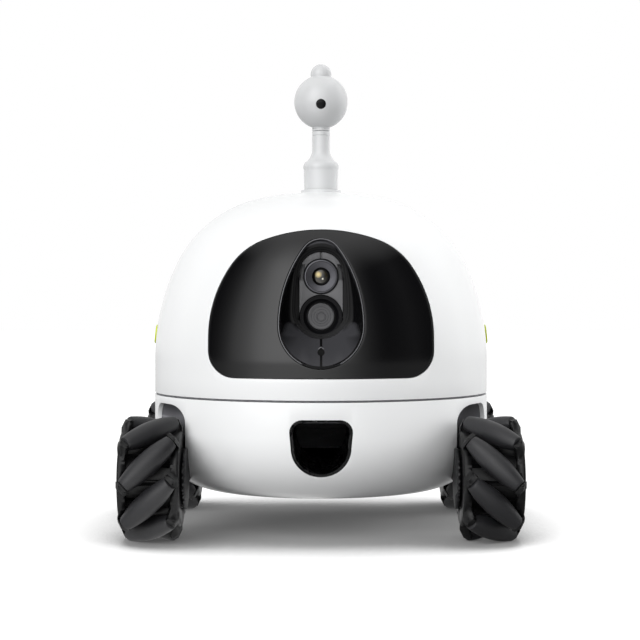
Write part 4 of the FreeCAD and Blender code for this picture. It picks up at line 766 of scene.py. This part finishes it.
# %% Bridge the D to the egg and lay it on the skin
VISOR_POINTS, VISOR_CUTS = 160, 26
FIT = 0.2

edges = [upright(evened(line, VISOR_POINTS)) for line in (visor_outline(-FIT), egg_outline(FIT))]
visor = banded("visor_panel", edges, {0: VISOR_CUTS})
close_up()
walled(laid_on_skin(visor), WALL)
settle(smooth(rounded(visor, 0.5)), "face_visor")

# %% [markdown]
# ## The camera's recess
# The camera looks out of a deep egg-shaped recess. It starts at a thin rim on the visor, falls
# away steeply, and ends at a frame of two small steps round the camera pod. At the bottom there
# is no rim: the floor of the recess runs straight out into the visor. All of this is a stack of
# rings that have as many points each, so each ring is traced and bridged to the next one. The
# wall between the rim and the frame gets extra cuts, and while it is bridged its Y only says how
# far along the wall a point lies. After that, every point is pushed to its real depth.

# %% The recess's rings
RING_POINTS = 144
FRAME_HALF, FRAME_MIDDLE, FRAME_TOP, FRAME_TIP, FRAME_DEPTH = 16.0, 129.6, 165.0, 14.5, 81.5
POD_HALF, POD_LOW, POD_HIGH, POD_FACE, POD_BACK = 12.0, 114.2, 162.0, 78.0, 64.0
RIM_END, RIM_FADE, RIM_TOP_OF_FADE = 7.5, 4.0, 110.0
RECESS_BACK, POD_GAP_FRONT = -70.0, -77.6
WALL_START, WALL_BAND, WALL_CUTS = -1.6, 6, 13
# Each line gives, ring by ring, how far outside its outline it runs. The second number is its
# height above the skin for the rim, and how far in front of the middle it is for the frame.
RIM_LINE = [(-0.05, -0.4), (-0.2, 0.3), (-0.75, 0.3), (-0.9, -1.4), (-1.5, -1.4)]
FRAME_LINE = [(-0.2, 79.9), (-1.3, 79.7), (-1.5, 78.0), (-2.7, 77.8)]


def even_ring(outline, y=0.0):
    """A ring of the recess from an outline."""
    return upright(evened(outline, RING_POINTS), y)


def capsule_outline(half, low, high):
    """An upright capsule."""
    return mirrored(arc((0, low + half), half, -90, 0) + arc((0, high - half), half, 0, 90))


def between_0_and_1(value):
    """The value, kept from 0 to 1."""
    return min(max(value, 0.0), 1.0)


def rim_share(x, z):
    """1 where the rim stands up, and 0 at the bottom, where the floor runs out into the visor."""
    return 1.0 if z > RIM_TOP_OF_FADE else between_0_and_1((abs(x) - RIM_END) / RIM_FADE)


def rim_ring(grow, rise, sink=0.0):
    """A ring near the egg's edge, above the dome's skin by rise where the rim stands up, and below
    it by sink where the rim is gone."""
    ring = evened(egg_outline(grow), RING_POINTS)
    return [Vector((x, -(skin_depth(x, z) + (rise + sink) * rim_share(x, z) - sink), z))
            for x, z in ring]


def frame_ring(grow, depth):
    """A ring of the frame round the pod."""
    return even_ring(egg_outline(grow, FRAME_HALF, FRAME_MIDDLE, FRAME_TOP, FRAME_TIP), -depth)


pod_gap = capsule_outline(POD_HALF + FIT, POD_LOW - FIT, POD_HIGH + FIT)
recess = banded("camera_recess", [
    even_ring(egg_outline(-0.05), RECESS_BACK), *[rim_ring(grow, rise) for grow, rise in RIM_LINE],
    even_ring(egg_outline(WALL_START)), frame_ring(0, -1.0),
    *[frame_ring(grow, depth) for grow, depth in FRAME_LINE],
    even_ring(pod_gap, POD_GAP_FRONT), even_ring(pod_gap, RECESS_BACK)],
    cuts={WALL_BAND: WALL_CUTS}, closed=True)

# %% Push the wall to its depth
# The wall curves in, and its floor, below these heights, runs straight.
FLOOR_LOW, FLOOR_HIGH = 116.0, 123.0
WALL_DROP = 0.8

bpy.ops.object.mode_set(mode="OBJECT")
for vertex in recess.data.vertices:
    along = vertex.co.y / MM
    if along >= -0.001:
        x, z = vertex.co.x / MM, vertex.co.z / MM
        start = -(skin_depth(x, z) - WALL_DROP * rim_share(x, z))
        curved = between_0_and_1((z - FLOOR_LOW) / (FLOOR_HIGH - FLOOR_LOW))
        share = (1 - curved) * along + curved * (1 - (1 - along) ** 3)
        vertex.co.y = (start + (-FRAME_DEPTH - start) * share) * MM
open_up(recess)
close_up()

# %% [markdown]
# A microphone sits in the recess's floor. It is a keyhole: a round hole with a slot that runs
# down to the visor, and a fine groove that runs up to the pod. The cutters follow the slope of
# the floor.

# %% Cut the microphone's keyhole and groove
FLOOR_EDGE = Vector((-BODY, EGG_MIDDLE - EGG_HALF - WALL_START))
FLOOR_END = Vector((-FRAME_DEPTH, FRAME_MIDDLE - FRAME_HALF))
FLOOR_SLOPE = (FLOOR_END - FLOOR_EDGE) / (FLOOR_END.y - FLOOR_EDGE.y)


def on_floor(z):
    """The place on the floor's middle line at a height."""
    return FLOOR_EDGE + FLOOR_SLOPE * (z - FLOOR_EDGE.y)


def floor_cut(name, low, high, half, depth):
    """A cutter that sinks into the sloping floor between two heights."""
    into = Vector((FLOOR_SLOPE.y, -FLOOR_SLOPE.x)).normalized()
    low, high = on_floor(low), on_floor(high)
    outline = [low - into * 4, high - into * 4, high + into * depth, low + into * depth]
    return turned_to(prism(name, [tuple(point) for point in outline], -half, 2 * half), "Z", -90)


cut_away(recess, floor_cut("groove", MIC_Z, FLOOR_END.y + 0.6, half=0.5, depth=0.8),
         floor_cut("keyhole_slot", FLOOR_EDGE.y - 0.2, MIC_Z, half=0.65, depth=1.6),
         rod("keyhole", MIC_RADIUS, -120, -84, axis="Y", centre=(0, 0, MIC_Z)))
settle(smooth(recess, 40), "camera_bezel", finish=FUNNEL_ABS_PAINTED_SHADING)

# %% [markdown]
# The egg's edge is a lip that stands up at the sides and sinks into the visor at the bottom, and
# a small roof keeps water out of the microphone. Both are painted a lighter grey: a painted
# highlight.

# %% The lip and the microphone's roof
LIP_RISE, LIP_SINK, LIP_DEPTH, LIP_EASE = 0.42, 0.35, 0.6, 0.06
# Ring by ring: how far outside the egg, and how far below the lip's crest.
LIP_LINE = [(-0.1, LIP_DEPTH), (-0.16, LIP_EASE), (-0.3, 0), (-0.52, 0), (-0.66, LIP_EASE),
            (-0.72, LIP_DEPTH)]
ROOF_HALF, ROOF_PEAK, ROOF_FOOT = 2.4, 109.7, 108.0
ROOF_WALL, ROOF_PROUD, ROOF_DEPTH = 0.6, 0.7, 2.2

lip = banded("recess_lip", [rim_ring(grow, LIP_RISE - drop, LIP_SINK + drop)
                            for grow, drop in LIP_LINE], closed=True)
close_up()
settle(smooth(lip, 50), slot="black_gloss", finish=PAINTED_HIGHLIGHT_ABS)

roof_line = [(0, ROOF_PEAK), (ROOF_HALF, ROOF_FOOT), (ROOF_HALF, ROOF_FOOT - ROOF_WALL),
             (0, ROOF_PEAK - ROOF_WALL), (-ROOF_HALF, ROOF_FOOT - ROOF_WALL),
             (-ROOF_HALF, ROOF_FOOT)]
roof_front = on_floor((ROOF_PEAK + ROOF_FOOT) / 2).x - ROOF_PROUD
roof = prism("mic_roof", roof_line, roof_front, ROOF_DEPTH)
settle(smooth(rounded(roof, 0.1, 2)), slot="black_gloss", finish=PAINTED_HIGHLIGHT_ABS)

# %% [markdown]
# ## The camera pod
# The pod is a grey satin capsule. A round gap frees the lens, with two notches at its sides, a
# slot parts its top, and its lower end is bored out over its full width for the sensor.

# %% The pod
SENSOR_Z = 126.2
LENS_GAP, LENS_FLOOR, SENSOR_GAP, SENSOR_FLOOR = 10.0, -68.9, 12.15, -72.9
NOTCH_X, NOTCH_END, NOTCH_BELOW, NOTCH_ABOVE, NOTCH_FLOOR = 9.0, 14, 2.2, 6.8, -73
SLOT_HALF, SLOT_START, SLOT_FLOOR = 0.7, 5, -76
CUT_FROM = -90

pod = prism("camera_pod_shell", capsule_outline(POD_HALF, POD_LOW, POD_HIGH), -POD_FACE,
            POD_FACE - POD_BACK)
cut_away(pod, rod("lens_gap", LENS_GAP, CUT_FROM, LENS_FLOOR, "Y", (0, 0, LENS_Z), 96),
         rod("sensor_gap", SENSOR_GAP, CUT_FROM, SENSOR_FLOOR, "Y", (0, 0, SENSOR_Z), 96))
for name, low, high in (("notch_left", NOTCH_X, NOTCH_END), ("notch_right", -NOTCH_END, -NOTCH_X)):
    cut_away(pod, block(name, (low, CUT_FROM, LENS_Z - NOTCH_BELOW),
                        (high, NOTCH_FLOOR, LENS_Z + NOTCH_ABOVE)))
cut_away(pod, block("pod_slot", (-SLOT_HALF, CUT_FROM, LENS_Z + SLOT_START),
                    (SLOT_HALF, SLOT_FLOOR, POD_HIGH + 1)))
settle(smooth(rounded(pod, 0.25)), "camera_pod")

# %% [markdown]
# ## Lens and sensor
# Both are turned parts that face the front. They are spun round Z, which is easiest to draw, and
# then tipped forward. The lens barrel steps down to the glass in fine rings, as barrels do to
# trap stray light. The sensor is a smoked disc in the middle of a dark well.

# %% Spin the barrel and the glass


def facing(piece, height):
    """Tip a piece that was spun round Z, so that its +Z looks out of the pod's face."""
    return turned_to(piece, "X", 90, (0, -POD_FACE, height))


BARREL_STEPS, FIRST_STEP, STEP_IN, STEP_DOWN = 5, 8.2, 0.62, 0.5
GLASS_HALF, GLASS_RISE, GLASS_EDGE, GLASS_BACK = 5.0, 1.7, -3.2, -3.9

line = [(0, -9), (9.35, -9), (9.35, 0.7), (9.2, 1.1), (8.9, 1.25), (8.5, 1.25), (8.3, 1.0)]
for number in range(BARREL_STEPS):
    radius, depth = FIRST_STEP - STEP_IN * number, STEP_DOWN - STEP_DOWN * number
    line += [(radius, depth), (radius - 0.52, depth - 0.14)]
barrel = spun("lens_barrel_rings", line + [(5.1, -2.3), (5.1, -4), (0, -4)])
settle(smooth(facing(barrel, LENS_Z), 30), "lens_barrel")

ball = (GLASS_HALF ** 2 + GLASS_RISE ** 2) / (2 * GLASS_RISE)
edge = math.degrees(math.asin((ball - GLASS_RISE) / ball))
glass = spun("lens_front_glass", [(0, GLASS_BACK), (GLASS_HALF, GLASS_BACK)]
             + arc((0, GLASS_EDGE + GLASS_RISE - ball), ball, edge, 90, chord=0.6))
settle(smooth(facing(glass, LENS_Z), 50), "lens_glass")

# %% Spin the sensor and its well
well = closed_spin("sensor_well", [
    (7.6, -4.9), (11.95, -4.9), (11.95, -0.9), (11.7, -0.7), (11.4, -0.7), (11.3, -1.0),
    (10.9, -1.0), (10.8, -1.25), (10.3, -1.3), (10.2, -1.05), (9.9, -1.05), (9.3, -1.9),
    (8.8, -2.3), (8.2, -2.5), (8.1, -3.4), (7.6, -3.4)])
settle(smooth(facing(well, SENSOR_Z), 30), slot="black_gloss", finish=WELL_ABS)
disc = spun("sensor_disc", [
    (0, -4.9), (7.45, -4.9), (7.45, -0.75), (7.2, -0.35), (6.8, -0.3), (6.7, -0.45), (5.5, -0.5),
    (5.4, -0.62), (5.3, -0.5), (4.1, -0.5), (4.0, -0.62), (3.9, -0.5), (2.8, -0.5), (2.6, -0.3),
    (2.2, -0.3), (2.0, -0.55), (0, -0.6)])
settle(smooth(facing(disc, SENSOR_Z), 30), "sensor_window")

# %% [markdown]
# ## The antenna
# A collar on the crown holds a stalk that narrows to a neck. The neck carries three fine rings: two
# grooves, and between them the joint where the upper length turns with the ball. All four pieces
# are spun.

# %% Spin the collar and the stalk
COLLAR, STALK, FLARE, NECK = 12.2, 10.0, 10.4, 5.35
FLARE_Z, NECK_Z, SWIVEL_Z = 214.0, 226.0, 237.3
GROOVE_BELOW, GROOVE_ABOVE = 234.7, 238.8


def between(start, end, radius, chord=0.8):
    """An arc from point to point, bulging to the right of the way where its radius is positive. The
    start is left out, because the line before it ends there."""
    start, end = Vector(start), Vector(end)
    half = (end - start).length / 2
    across = Vector((start.y - end.y, end.x - start.x)).normalized()
    away = math.copysign(math.sqrt(radius * radius - half * half), radius)
    centre = (start + end) / 2 + across * away
    first, last = (math.degrees(math.atan2(*(point - centre).yx)) for point in (start, end))
    turn = (last - first + 180) % 360 - 180
    return arc(tuple(centre), abs(radius), first, first + turn, chord)[1:]


def ring_groove(radius, height, width=0.4, depth=0.3):
    """Four points that cut a fine groove into a line that runs upwards."""
    return [(radius, height - width / 2), (radius - depth, height - width / 4),
            (radius - depth, height + width / 4), (radius, height + width / 2)]


collar = closed_spin("antenna_collar_ring", [
    (STALK + 0.3, APEX - 1), (COLLAR, APEX - 1), (COLLAR, APEX + 0.7), (COLLAR - 0.2, APEX + 1.1),
    (COLLAR - 0.6, APEX + 1.3), (STALK + 0.7, APEX + 1.3), (STALK + 0.3, APEX + 0.9)])
settle(smooth(collar, 30), "antenna_collar", finish=ANTENNA_PAINTED_SHADE_ABS)

foot, flare, neck = (STALK, APEX + 0.6), (FLARE, FLARE_Z), (NECK, NECK_Z)
middle = ((FLARE + NECK) / 2 + 0.5, FLARE_Z + (NECK_Z - FLARE_Z) * 0.45)
stalk = spun("antenna_stalk_tube", [
    (0, APEX - 7), (7.5, APEX - 7), (7.5, APEX + 0.3), (STALK - 0.3, APEX + 0.3), foot]
    + between(foot, flare, 400) + between(flare, middle, 4.05) + between(middle, neck, -10.1)
    + ring_groove(NECK, GROOVE_BELOW)
    + [(NECK, SWIVEL_Z - 0.25), (NECK - 0.3, SWIVEL_Z), (3.4, SWIVEL_Z), (3.4, SWIVEL_Z + 6),
       (0, SWIVEL_Z + 6)])
settle(smooth(stalk, 30), "antenna_stalk", finish=ANTENNA_PAINTED_SHADE_ABS)

# %% [markdown]
# The head is a ball with a small tuft, which meet where two circles cross. The pointer's window
# sits in the ball, behind a round hole that looks forward and a little down.

# %% Spin the head and its window
BALL_Z, BALL, TUFT_Z, TUFT = 255.1, 16.2, 271.6, 6.3
BORE, HEAD_LOW = 3.45, SWIVEL_Z + 0.2
POINTER_DIP, POINTER, WINDOW_BALL = 11.0, 3.0, 9.0

rise = TUFT_Z - BALL_Z
meet_rise = (rise ** 2 + BALL ** 2 - TUFT ** 2) / (2 * rise)
meet_radius = math.sqrt(BALL ** 2 - meet_rise ** 2)
ball_start, ball_end = -math.acos(NECK / BALL), math.asin(meet_rise / BALL)
tuft_start = math.atan2(meet_rise - rise, meet_radius)
head = closed_spin("antenna_ball", [
    (BORE, HEAD_LOW), (NECK - 0.3, HEAD_LOW), (NECK, HEAD_LOW + 0.25)]
    + ring_groove(NECK, GROOVE_ABOVE)
    + arc((0, BALL_Z), BALL, math.degrees(ball_start), math.degrees(ball_end), 1.0)
    + arc((0, TUFT_Z), TUFT, math.degrees(tuft_start), 90, 0.6)[1:]
    + [(0, SWIVEL_Z + 6.2), (BORE, SWIVEL_Z + 6.2)], steps=128)


def on_ball(piece):
    """Tip a piece spun round Z so that it looks forward out of the ball, and a little down."""
    dip = math.radians(POINTER_DIP)
    forward = Vector((0, -math.cos(dip), -math.sin(dip))) * BALL
    return turned_to(piece, "X", 90 + POINTER_DIP, forward + Vector((0, 0, BALL_Z)))


cut_away(head, on_ball(rod("pointer_hole", POINTER, -5, 5, axis="Z", vertices=64)))
settle(smooth(rounded(head, 0.2)), "antenna_head", finish=ANTENNA_PAINTED_SHADE_ABS)
window = spun("pointer_window", [(0, -5), (POINTER - 0.05, -5), (POINTER - 0.05, -0.75)]
              + arc((0, -0.2 - WINDOW_BALL), WINDOW_BALL, 71, 90, 0.5))
settle(smooth(on_ball(window), 50), "pointer_lens")

# %% [markdown]
# ## Lid and side buttons
# Both follow the dome, so both are made as the visor was: an outline that is drawn flat, filled
# with shrinking rings and laid on the skin. The lid is at the back, with the middle knuckle of
# its hinge.

# %% Rings that shrink towards the middle


def filled_patch(name, outline, count=96, shares=(1, 0.94, 0.86, 0.76, 0.64, 0.5, 0.34, 0.16)):
    """A flat patch inside an outline: rings that shrink to those shares, closed in the middle."""
    ring = [Vector(point) for point in evened(outline, count)]
    middle = sum(ring, Vector((0, 0))) / count
    rings = [upright(middle + (place - middle) * share for place in ring) for share in shares]
    piece = banded(name, rings)
    pick(piece, range((len(rings) - 1) * count, len(rings) * count))
    bpy.ops.mesh.edge_face_add()
    close_up()
    return piece


# %% The lid
LID_WEB, LID_ROUND = 3, 0.45

lid = laid_on_skin(filled_patch("lid_panel", rounded_box(*LID_SHAPE)))
rounded(walled(turned_to(lid, "Z", 180), WALL), LID_ROUND)
joined(lid, knuckle("lid_knuckle", -KNUCKLE_MIDDLE, KNUCKLE_MIDDLE),
       block("lid_web", (-KNUCKLE_MIDDLE, HINGE_Y - 1.5, HINGE_Z),
             (KNUCKLE_MIDDLE, HINGE_Y + 0.2, LID_LOW + LID_WEB)))
settle(smooth(lid), "hopper_lid")

# %% The side buttons
BUTTON_PROUD, BUTTON_REACH = 0.9, 6.5

for word, turn in (("left", 90), ("right", -90)):
    button = filled_patch(f"button_{word}", rounded_box(*BUTTON_SHAPE, -BUTTON_GAP), 64,
                          (1, 0.85, 0.65, 0.45, 0.25))
    turned_to(laid_on_skin(button, -BUTTON_PROUD), "Z", turn)
    settle(smooth(rounded(walled(button, BUTTON_REACH), 0.6)), f"side_button_{word}")

# %% [markdown]
# ## Wheels
# Each wheel carries eight barrel-shaped rollers at 45 degrees. One roller is spun with
# rounded ends and a bore for its pin, and each of the 32 gets a copy of that mesh, turned to its
# place. The rollers of neighbouring wheels lean opposite ways, so that the robot can also move
# sideways.

# %% One roller, copied to its 32 places
ROLLER, ROLLER_HALF, ROLLER_ARC, ROLLER_BORE = 6.5, 18.2, 64.6, 1.05
WHEEL_RADIUS, TRACK, BASE = 35.0, 190.0, 140.0
WHEELS = {"front_left": (1, -1), "front_right": (-1, -1), "rear_left": (1, 1),
          "rear_right": (-1, 1)}

lean = math.degrees(math.asin((ROLLER_HALF - 0.7) / ROLLER_ARC))
side = arc((ROLLER - ROLLER_ARC, 0), ROLLER_ARC, -lean, lean, 1.4)
end = side[0][0]
roller = closed_spin("roller_rubber_body", [
    (ROLLER_BORE, -ROLLER_HALF), (end - 0.8, -ROLLER_HALF), (end - 0.25, -ROLLER_HALF + 0.2)] + side
    + [(end - 0.25, ROLLER_HALF - 0.2), (end - 0.8, ROLLER_HALF), (ROLLER_BORE, ROLLER_HALF)], 40)
smooth(roller, 30)


def wheel_place(side, end):
    """A wheel's place. Its own +X points away from the body."""
    return (Matrix.Translation(Vector((side * TRACK / 2, end * BASE / 2, WHEEL_RADIUS)) * MM)
            @ Matrix.Rotation(0 if side > 0 else math.pi, 4, "Z"))


def roller_place(number, hand):
    """A roller's place in its wheel, numbered from 0."""
    around = math.radians(45 * (number + 0.5))
    outward = Vector((0, math.cos(around), math.sin(around)))
    onward = Vector((0, -math.sin(around), math.cos(around)))
    lie = (Vector((1, 0, 0)) + onward * hand).normalized()
    return (Matrix.Translation(outward * (WHEEL_RADIUS - ROLLER) * MM)
            @ Vector((0, 0, 1)).rotation_difference(lie).to_matrix().to_4x4())


def copied(piece, name, place):
    """A copy of a piece, with its own mesh, moved to its place in that mesh."""
    copy = placed(name, piece.data.copy())
    copy.data.transform(place)
    return copy


for wheel, (side, end) in WHEELS.items():
    for number in range(8):
        node = f"roller_{wheel}_{number + 1}"
        place = wheel_place(side, end) @ roller_place(number, -side * end)
        settle(copied(roller, node + "_rubber", place), node)
bpy.data.objects.remove(roller)

# %% [markdown]
# Each hub has a hexagon bolt on a washer in the middle of its dish, and six socket screws round
# it.

# %% The hubs' bolts, copied to the four wheels
WEB_FACE, SCREW_RING = 13.0, 13.0
BOLT, BOLT_HEIGHT, WASHER, WASHER_HEIGHT, SUNK = 4.6, 3.4, 6.6, 0.9, 0.3

bolts = rounded(rod("hub_bolts", BOLT, WEB_FACE - SUNK, WEB_FACE + BOLT_HEIGHT, vertices=6), 0.3)
washer = rounded(rod("hub_washer", WASHER, WEB_FACE - SUNK, WEB_FACE + WASHER_HEIGHT), 0.2)
turns = [math.radians(60 * number) for number in range(6)]
ring = [(0, SCREW_RING * math.cos(turn), SCREW_RING * math.sin(turn)) for turn in turns]
joined(bolts, washer,
       *[socket_screw("hub_screw", 2.1, 1.9, WEB_FACE - 0.2, "X", place) for place in ring])
smooth(bolts, 30)
for wheel, (side, end) in WHEELS.items():
    settle(copied(bolts, f"hub_bolts_{wheel}", wheel_place(side, end)),
           body=BODY_OF[f"wheel_hub_{wheel}"], slot="hinge_steel")
bpy.data.objects.remove(bolts)

# %% [markdown]
# ## The pieces that are already right
# What no cell above stands for keeps its shape from the model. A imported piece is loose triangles,
# so light falls on it in flat facets. A copy is merged into one skin and shaded smooth, except
# across real edges, and stands for it.

# %% Take over the rest
for node in sorted(NODES):
    if NODES[node].hide_render:
        continue
    skin = placed(node + "_skin", NODES[node].data.copy())
    open_up(skin)
    bpy.ops.mesh.select_all(action="SELECT")
    bpy.ops.mesh.remove_doubles(threshold=0.002 * MM)
    bpy.ops.object.mode_set(mode="OBJECT")
    settle(smooth(skin, 32), node, finish=MOUTH_ABS if node == "chute_liner" else None)

# %% [markdown]
# ## Studio
# The camera looks at the robot from the front, at about half its height, from just under a metre.
# Four wide soft suns light it: a window on the left, a strip from behind on the right that
# brightens that edge, a weak fill from the front and a little light from overhead. No polished
# piece mirrors a sun: it mirrors the room that follows the lights.

# %% Camera
CAMERA_PLACE = Vector((-0.6, -964, 135.4)) * MM
CAMERA_DIP = 0.72
CAMERA_LENS = 89.5

camera_data = bpy.data.cameras.new("studio_camera")
camera_data.lens = CAMERA_LENS
camera_data.sensor_width = 36
camera_data.clip_start = 0.01
camera = placed("studio_camera", camera_data)
camera.location = CAMERA_PLACE
camera.rotation_euler = (math.radians(90 - CAMERA_DIP), 0, 0)
bpy.context.scene.camera = camera

# %% Light
# Strength, width, angle from straight overhead and where it stands, all in degrees but the first.
SUNS = {"left_window": (1.95, 44, 62, -40), "rear_right_strip": (2.4, 40, 74, 107),
        "front_fill": (0.97, 70, 74, -4), "overhead": (0.32, 120, 0, 0)}

for name, (strength, width, lean, around) in SUNS.items():
    light = bpy.data.lights.new(name, "SUN")
    light.energy = strength
    light.angle = math.radians(width)
    lamp = placed(name, light)
    lamp.rotation_euler = (math.radians(lean), 0, math.radians(around))
    lamp.visible_glossy = False
print("suns:", ", ".join(SUNS))

# %% [markdown]
# ## What the polished pieces see
# The visor is nearly a mirror, so its look is the look of the room: a wide bright panel that
# stands in front, left of the camera, and dark cloth on both sides of it. The table gives the
# brightness of the room by the direction of the ray, in degrees from the front, positive to the
# right. Only glossy rays see it. The camera sees plain white, and the matt surfaces get plain
# even light.

# %% World


def ray_is(tree, *kinds):
    """1 where the ray is of one of these kinds."""
    path = add_node(tree, "LightPath")
    total = path.outputs[kinds[0]]
    for kind in kinds[1:]:
        total = add_node(tree, "Math", {0: total, 1: path.outputs[kind]}, operation="ADD",
                         use_clamp=True)
    return total


ROOM_PEAK = 2.7
ROOM = [(-180, 1.0), (-112, 1.0), (-98, 0.4), (-86, 0.0), (-80, 0.03), (-75, 0.1), (-71, 0.2),
        (-66, 0.42), (-62, 0.74), (-55, 1.12), (-50, 1.45), (-46, 1.85), (-42, 2.2), (-38, 2.45),
        (-32, 2.65), (-24, 2.7), (-14, 2.6), (-4, 2.25), (6, 1.8), (15, 1.25), (21, 0.85),
        (27, 0.48), (33, 0.24), (40, 0.08), (47, 0.04), (56, 0.07), (66, 0.11), (74, 0.06),
        (84, 0.02), (98, 0.4), (112, 1.0), (180, 1.0)]
CEILING, CEILING_RISE = 1.05, (0.7, 0.95)
WORLD_LIGHT = 0.29


def room_strength(tree, way):
    """How bright the room is in a direction."""
    part = add_node(tree, "SeparateXYZ", {"Vector": way})
    forward = add_node(tree, "Math", {0: part.outputs["Y"], 1: -1.0}, operation="MULTIPLY")
    azimuth = add_node(tree, "Math", {0: part.outputs["X"], 1: forward}, operation="ARCTAN2")
    share = add_node(tree, "MapRange", {
        "Value": azimuth, "From Min": -math.pi, "From Max": math.pi})
    ramp = add_node(tree, "ValToRGB", {"Fac": share}, stops=[
        ((degrees + 180) / 360, strength / ROOM_PEAK) for degrees, strength in ROOM])
    bright = add_node(tree, "Math", {0: ramp, 1: ROOM_PEAK}, operation="MULTIPLY")
    overhead = add_node(tree, "MapRange", {
        "Value": part.outputs["Z"], "From Min": CEILING_RISE[0], "From Max": CEILING_RISE[1]})
    return add_node(tree, "Mix", {"Factor": overhead, "A": bright, "B": CEILING})


world = bpy.data.worlds.new("studio_world")
world.use_nodes = True
bpy.context.scene.world = world
tree = world.node_tree
tree.nodes.clear()
sky = room_strength(tree, add_node(tree, "TexCoord").outputs["Generated"])
reflected = add_node(tree, "Mix", {
    "Factor": ray_is(tree, "Is Glossy Ray"), "A": WORLD_LIGHT, "B": sky})
strength = add_node(tree, "Mix", {
    "Factor": ray_is(tree, "Is Camera Ray", "Is Transmission Ray"), "A": reflected, "B": 1.0})
backdrop = add_node(tree, "Background", {"Color": linear("#FFFFFF"), "Strength": strength})
add_node(tree, "OutputWorld", {"Surface": backdrop})
print("world:", len(tree.nodes), "nodes")

# %% [markdown]
# The floor is grey paper that looks white where the camera and the polished pieces see it. The
# added white fades where the robot covers the floor from above, so a soft shadow stays under it.

# %% Floor
FLOOR_COVER, FLOOR_GLOSS, FLOOR_RADIUS = 0.13, 0.42, 6
FLOOR_GLOW = [(0.0, 0.05), (0.15, 0.08), (0.5, 0.1), (0.64, 0.62), (0.82, 0.98)]

material, tree = new_material("white_paper_floor")
paper = add_node(tree, "BsdfDiffuse", {"Color": linear("#909090")})
cover = add_node(tree, "AmbientOcclusion", {"Distance": FLOOR_COVER}, samples=12)
glow = add_node(tree, "ValToRGB", {"Fac": cover.outputs["AO"]}, stops=FLOOR_GLOW)
direct = add_node(tree, "Math", {0: glow, 1: ray_is(tree, "Is Camera Ray", "Is Transmission Ray")},
                  operation="MULTIPLY")
room = room_strength(tree, add_node(tree, "TexCoord").outputs["Object"])
mirrored_room = add_node(tree, "Math", {0: room, 1: FLOOR_GLOSS}, operation="MULTIPLY")
gloss = add_node(tree, "Math", {0: mirrored_room, 1: ray_is(tree, "Is Glossy Ray")},
                 operation="MULTIPLY")
shown = add_node(tree, "Math", {0: direct, 1: gloss}, operation="ADD")
white = add_node(tree, "Emission", {"Color": linear("#FFFFFF"), "Strength": shown})
both = add_node(tree, "AddShader", {0: paper, 1: white})
add_node(tree, "OutputMaterial", {"Surface": both})
select_only()
bpy.ops.mesh.primitive_circle_add(vertices=96, radius=FLOOR_RADIUS, fill_type="NGON")
floor = bpy.context.object
floor.name = "studio_floor"
floor.data.materials.append(material)

# %% Finish
bpy.context.scene.view_settings.view_transform = "Standard"
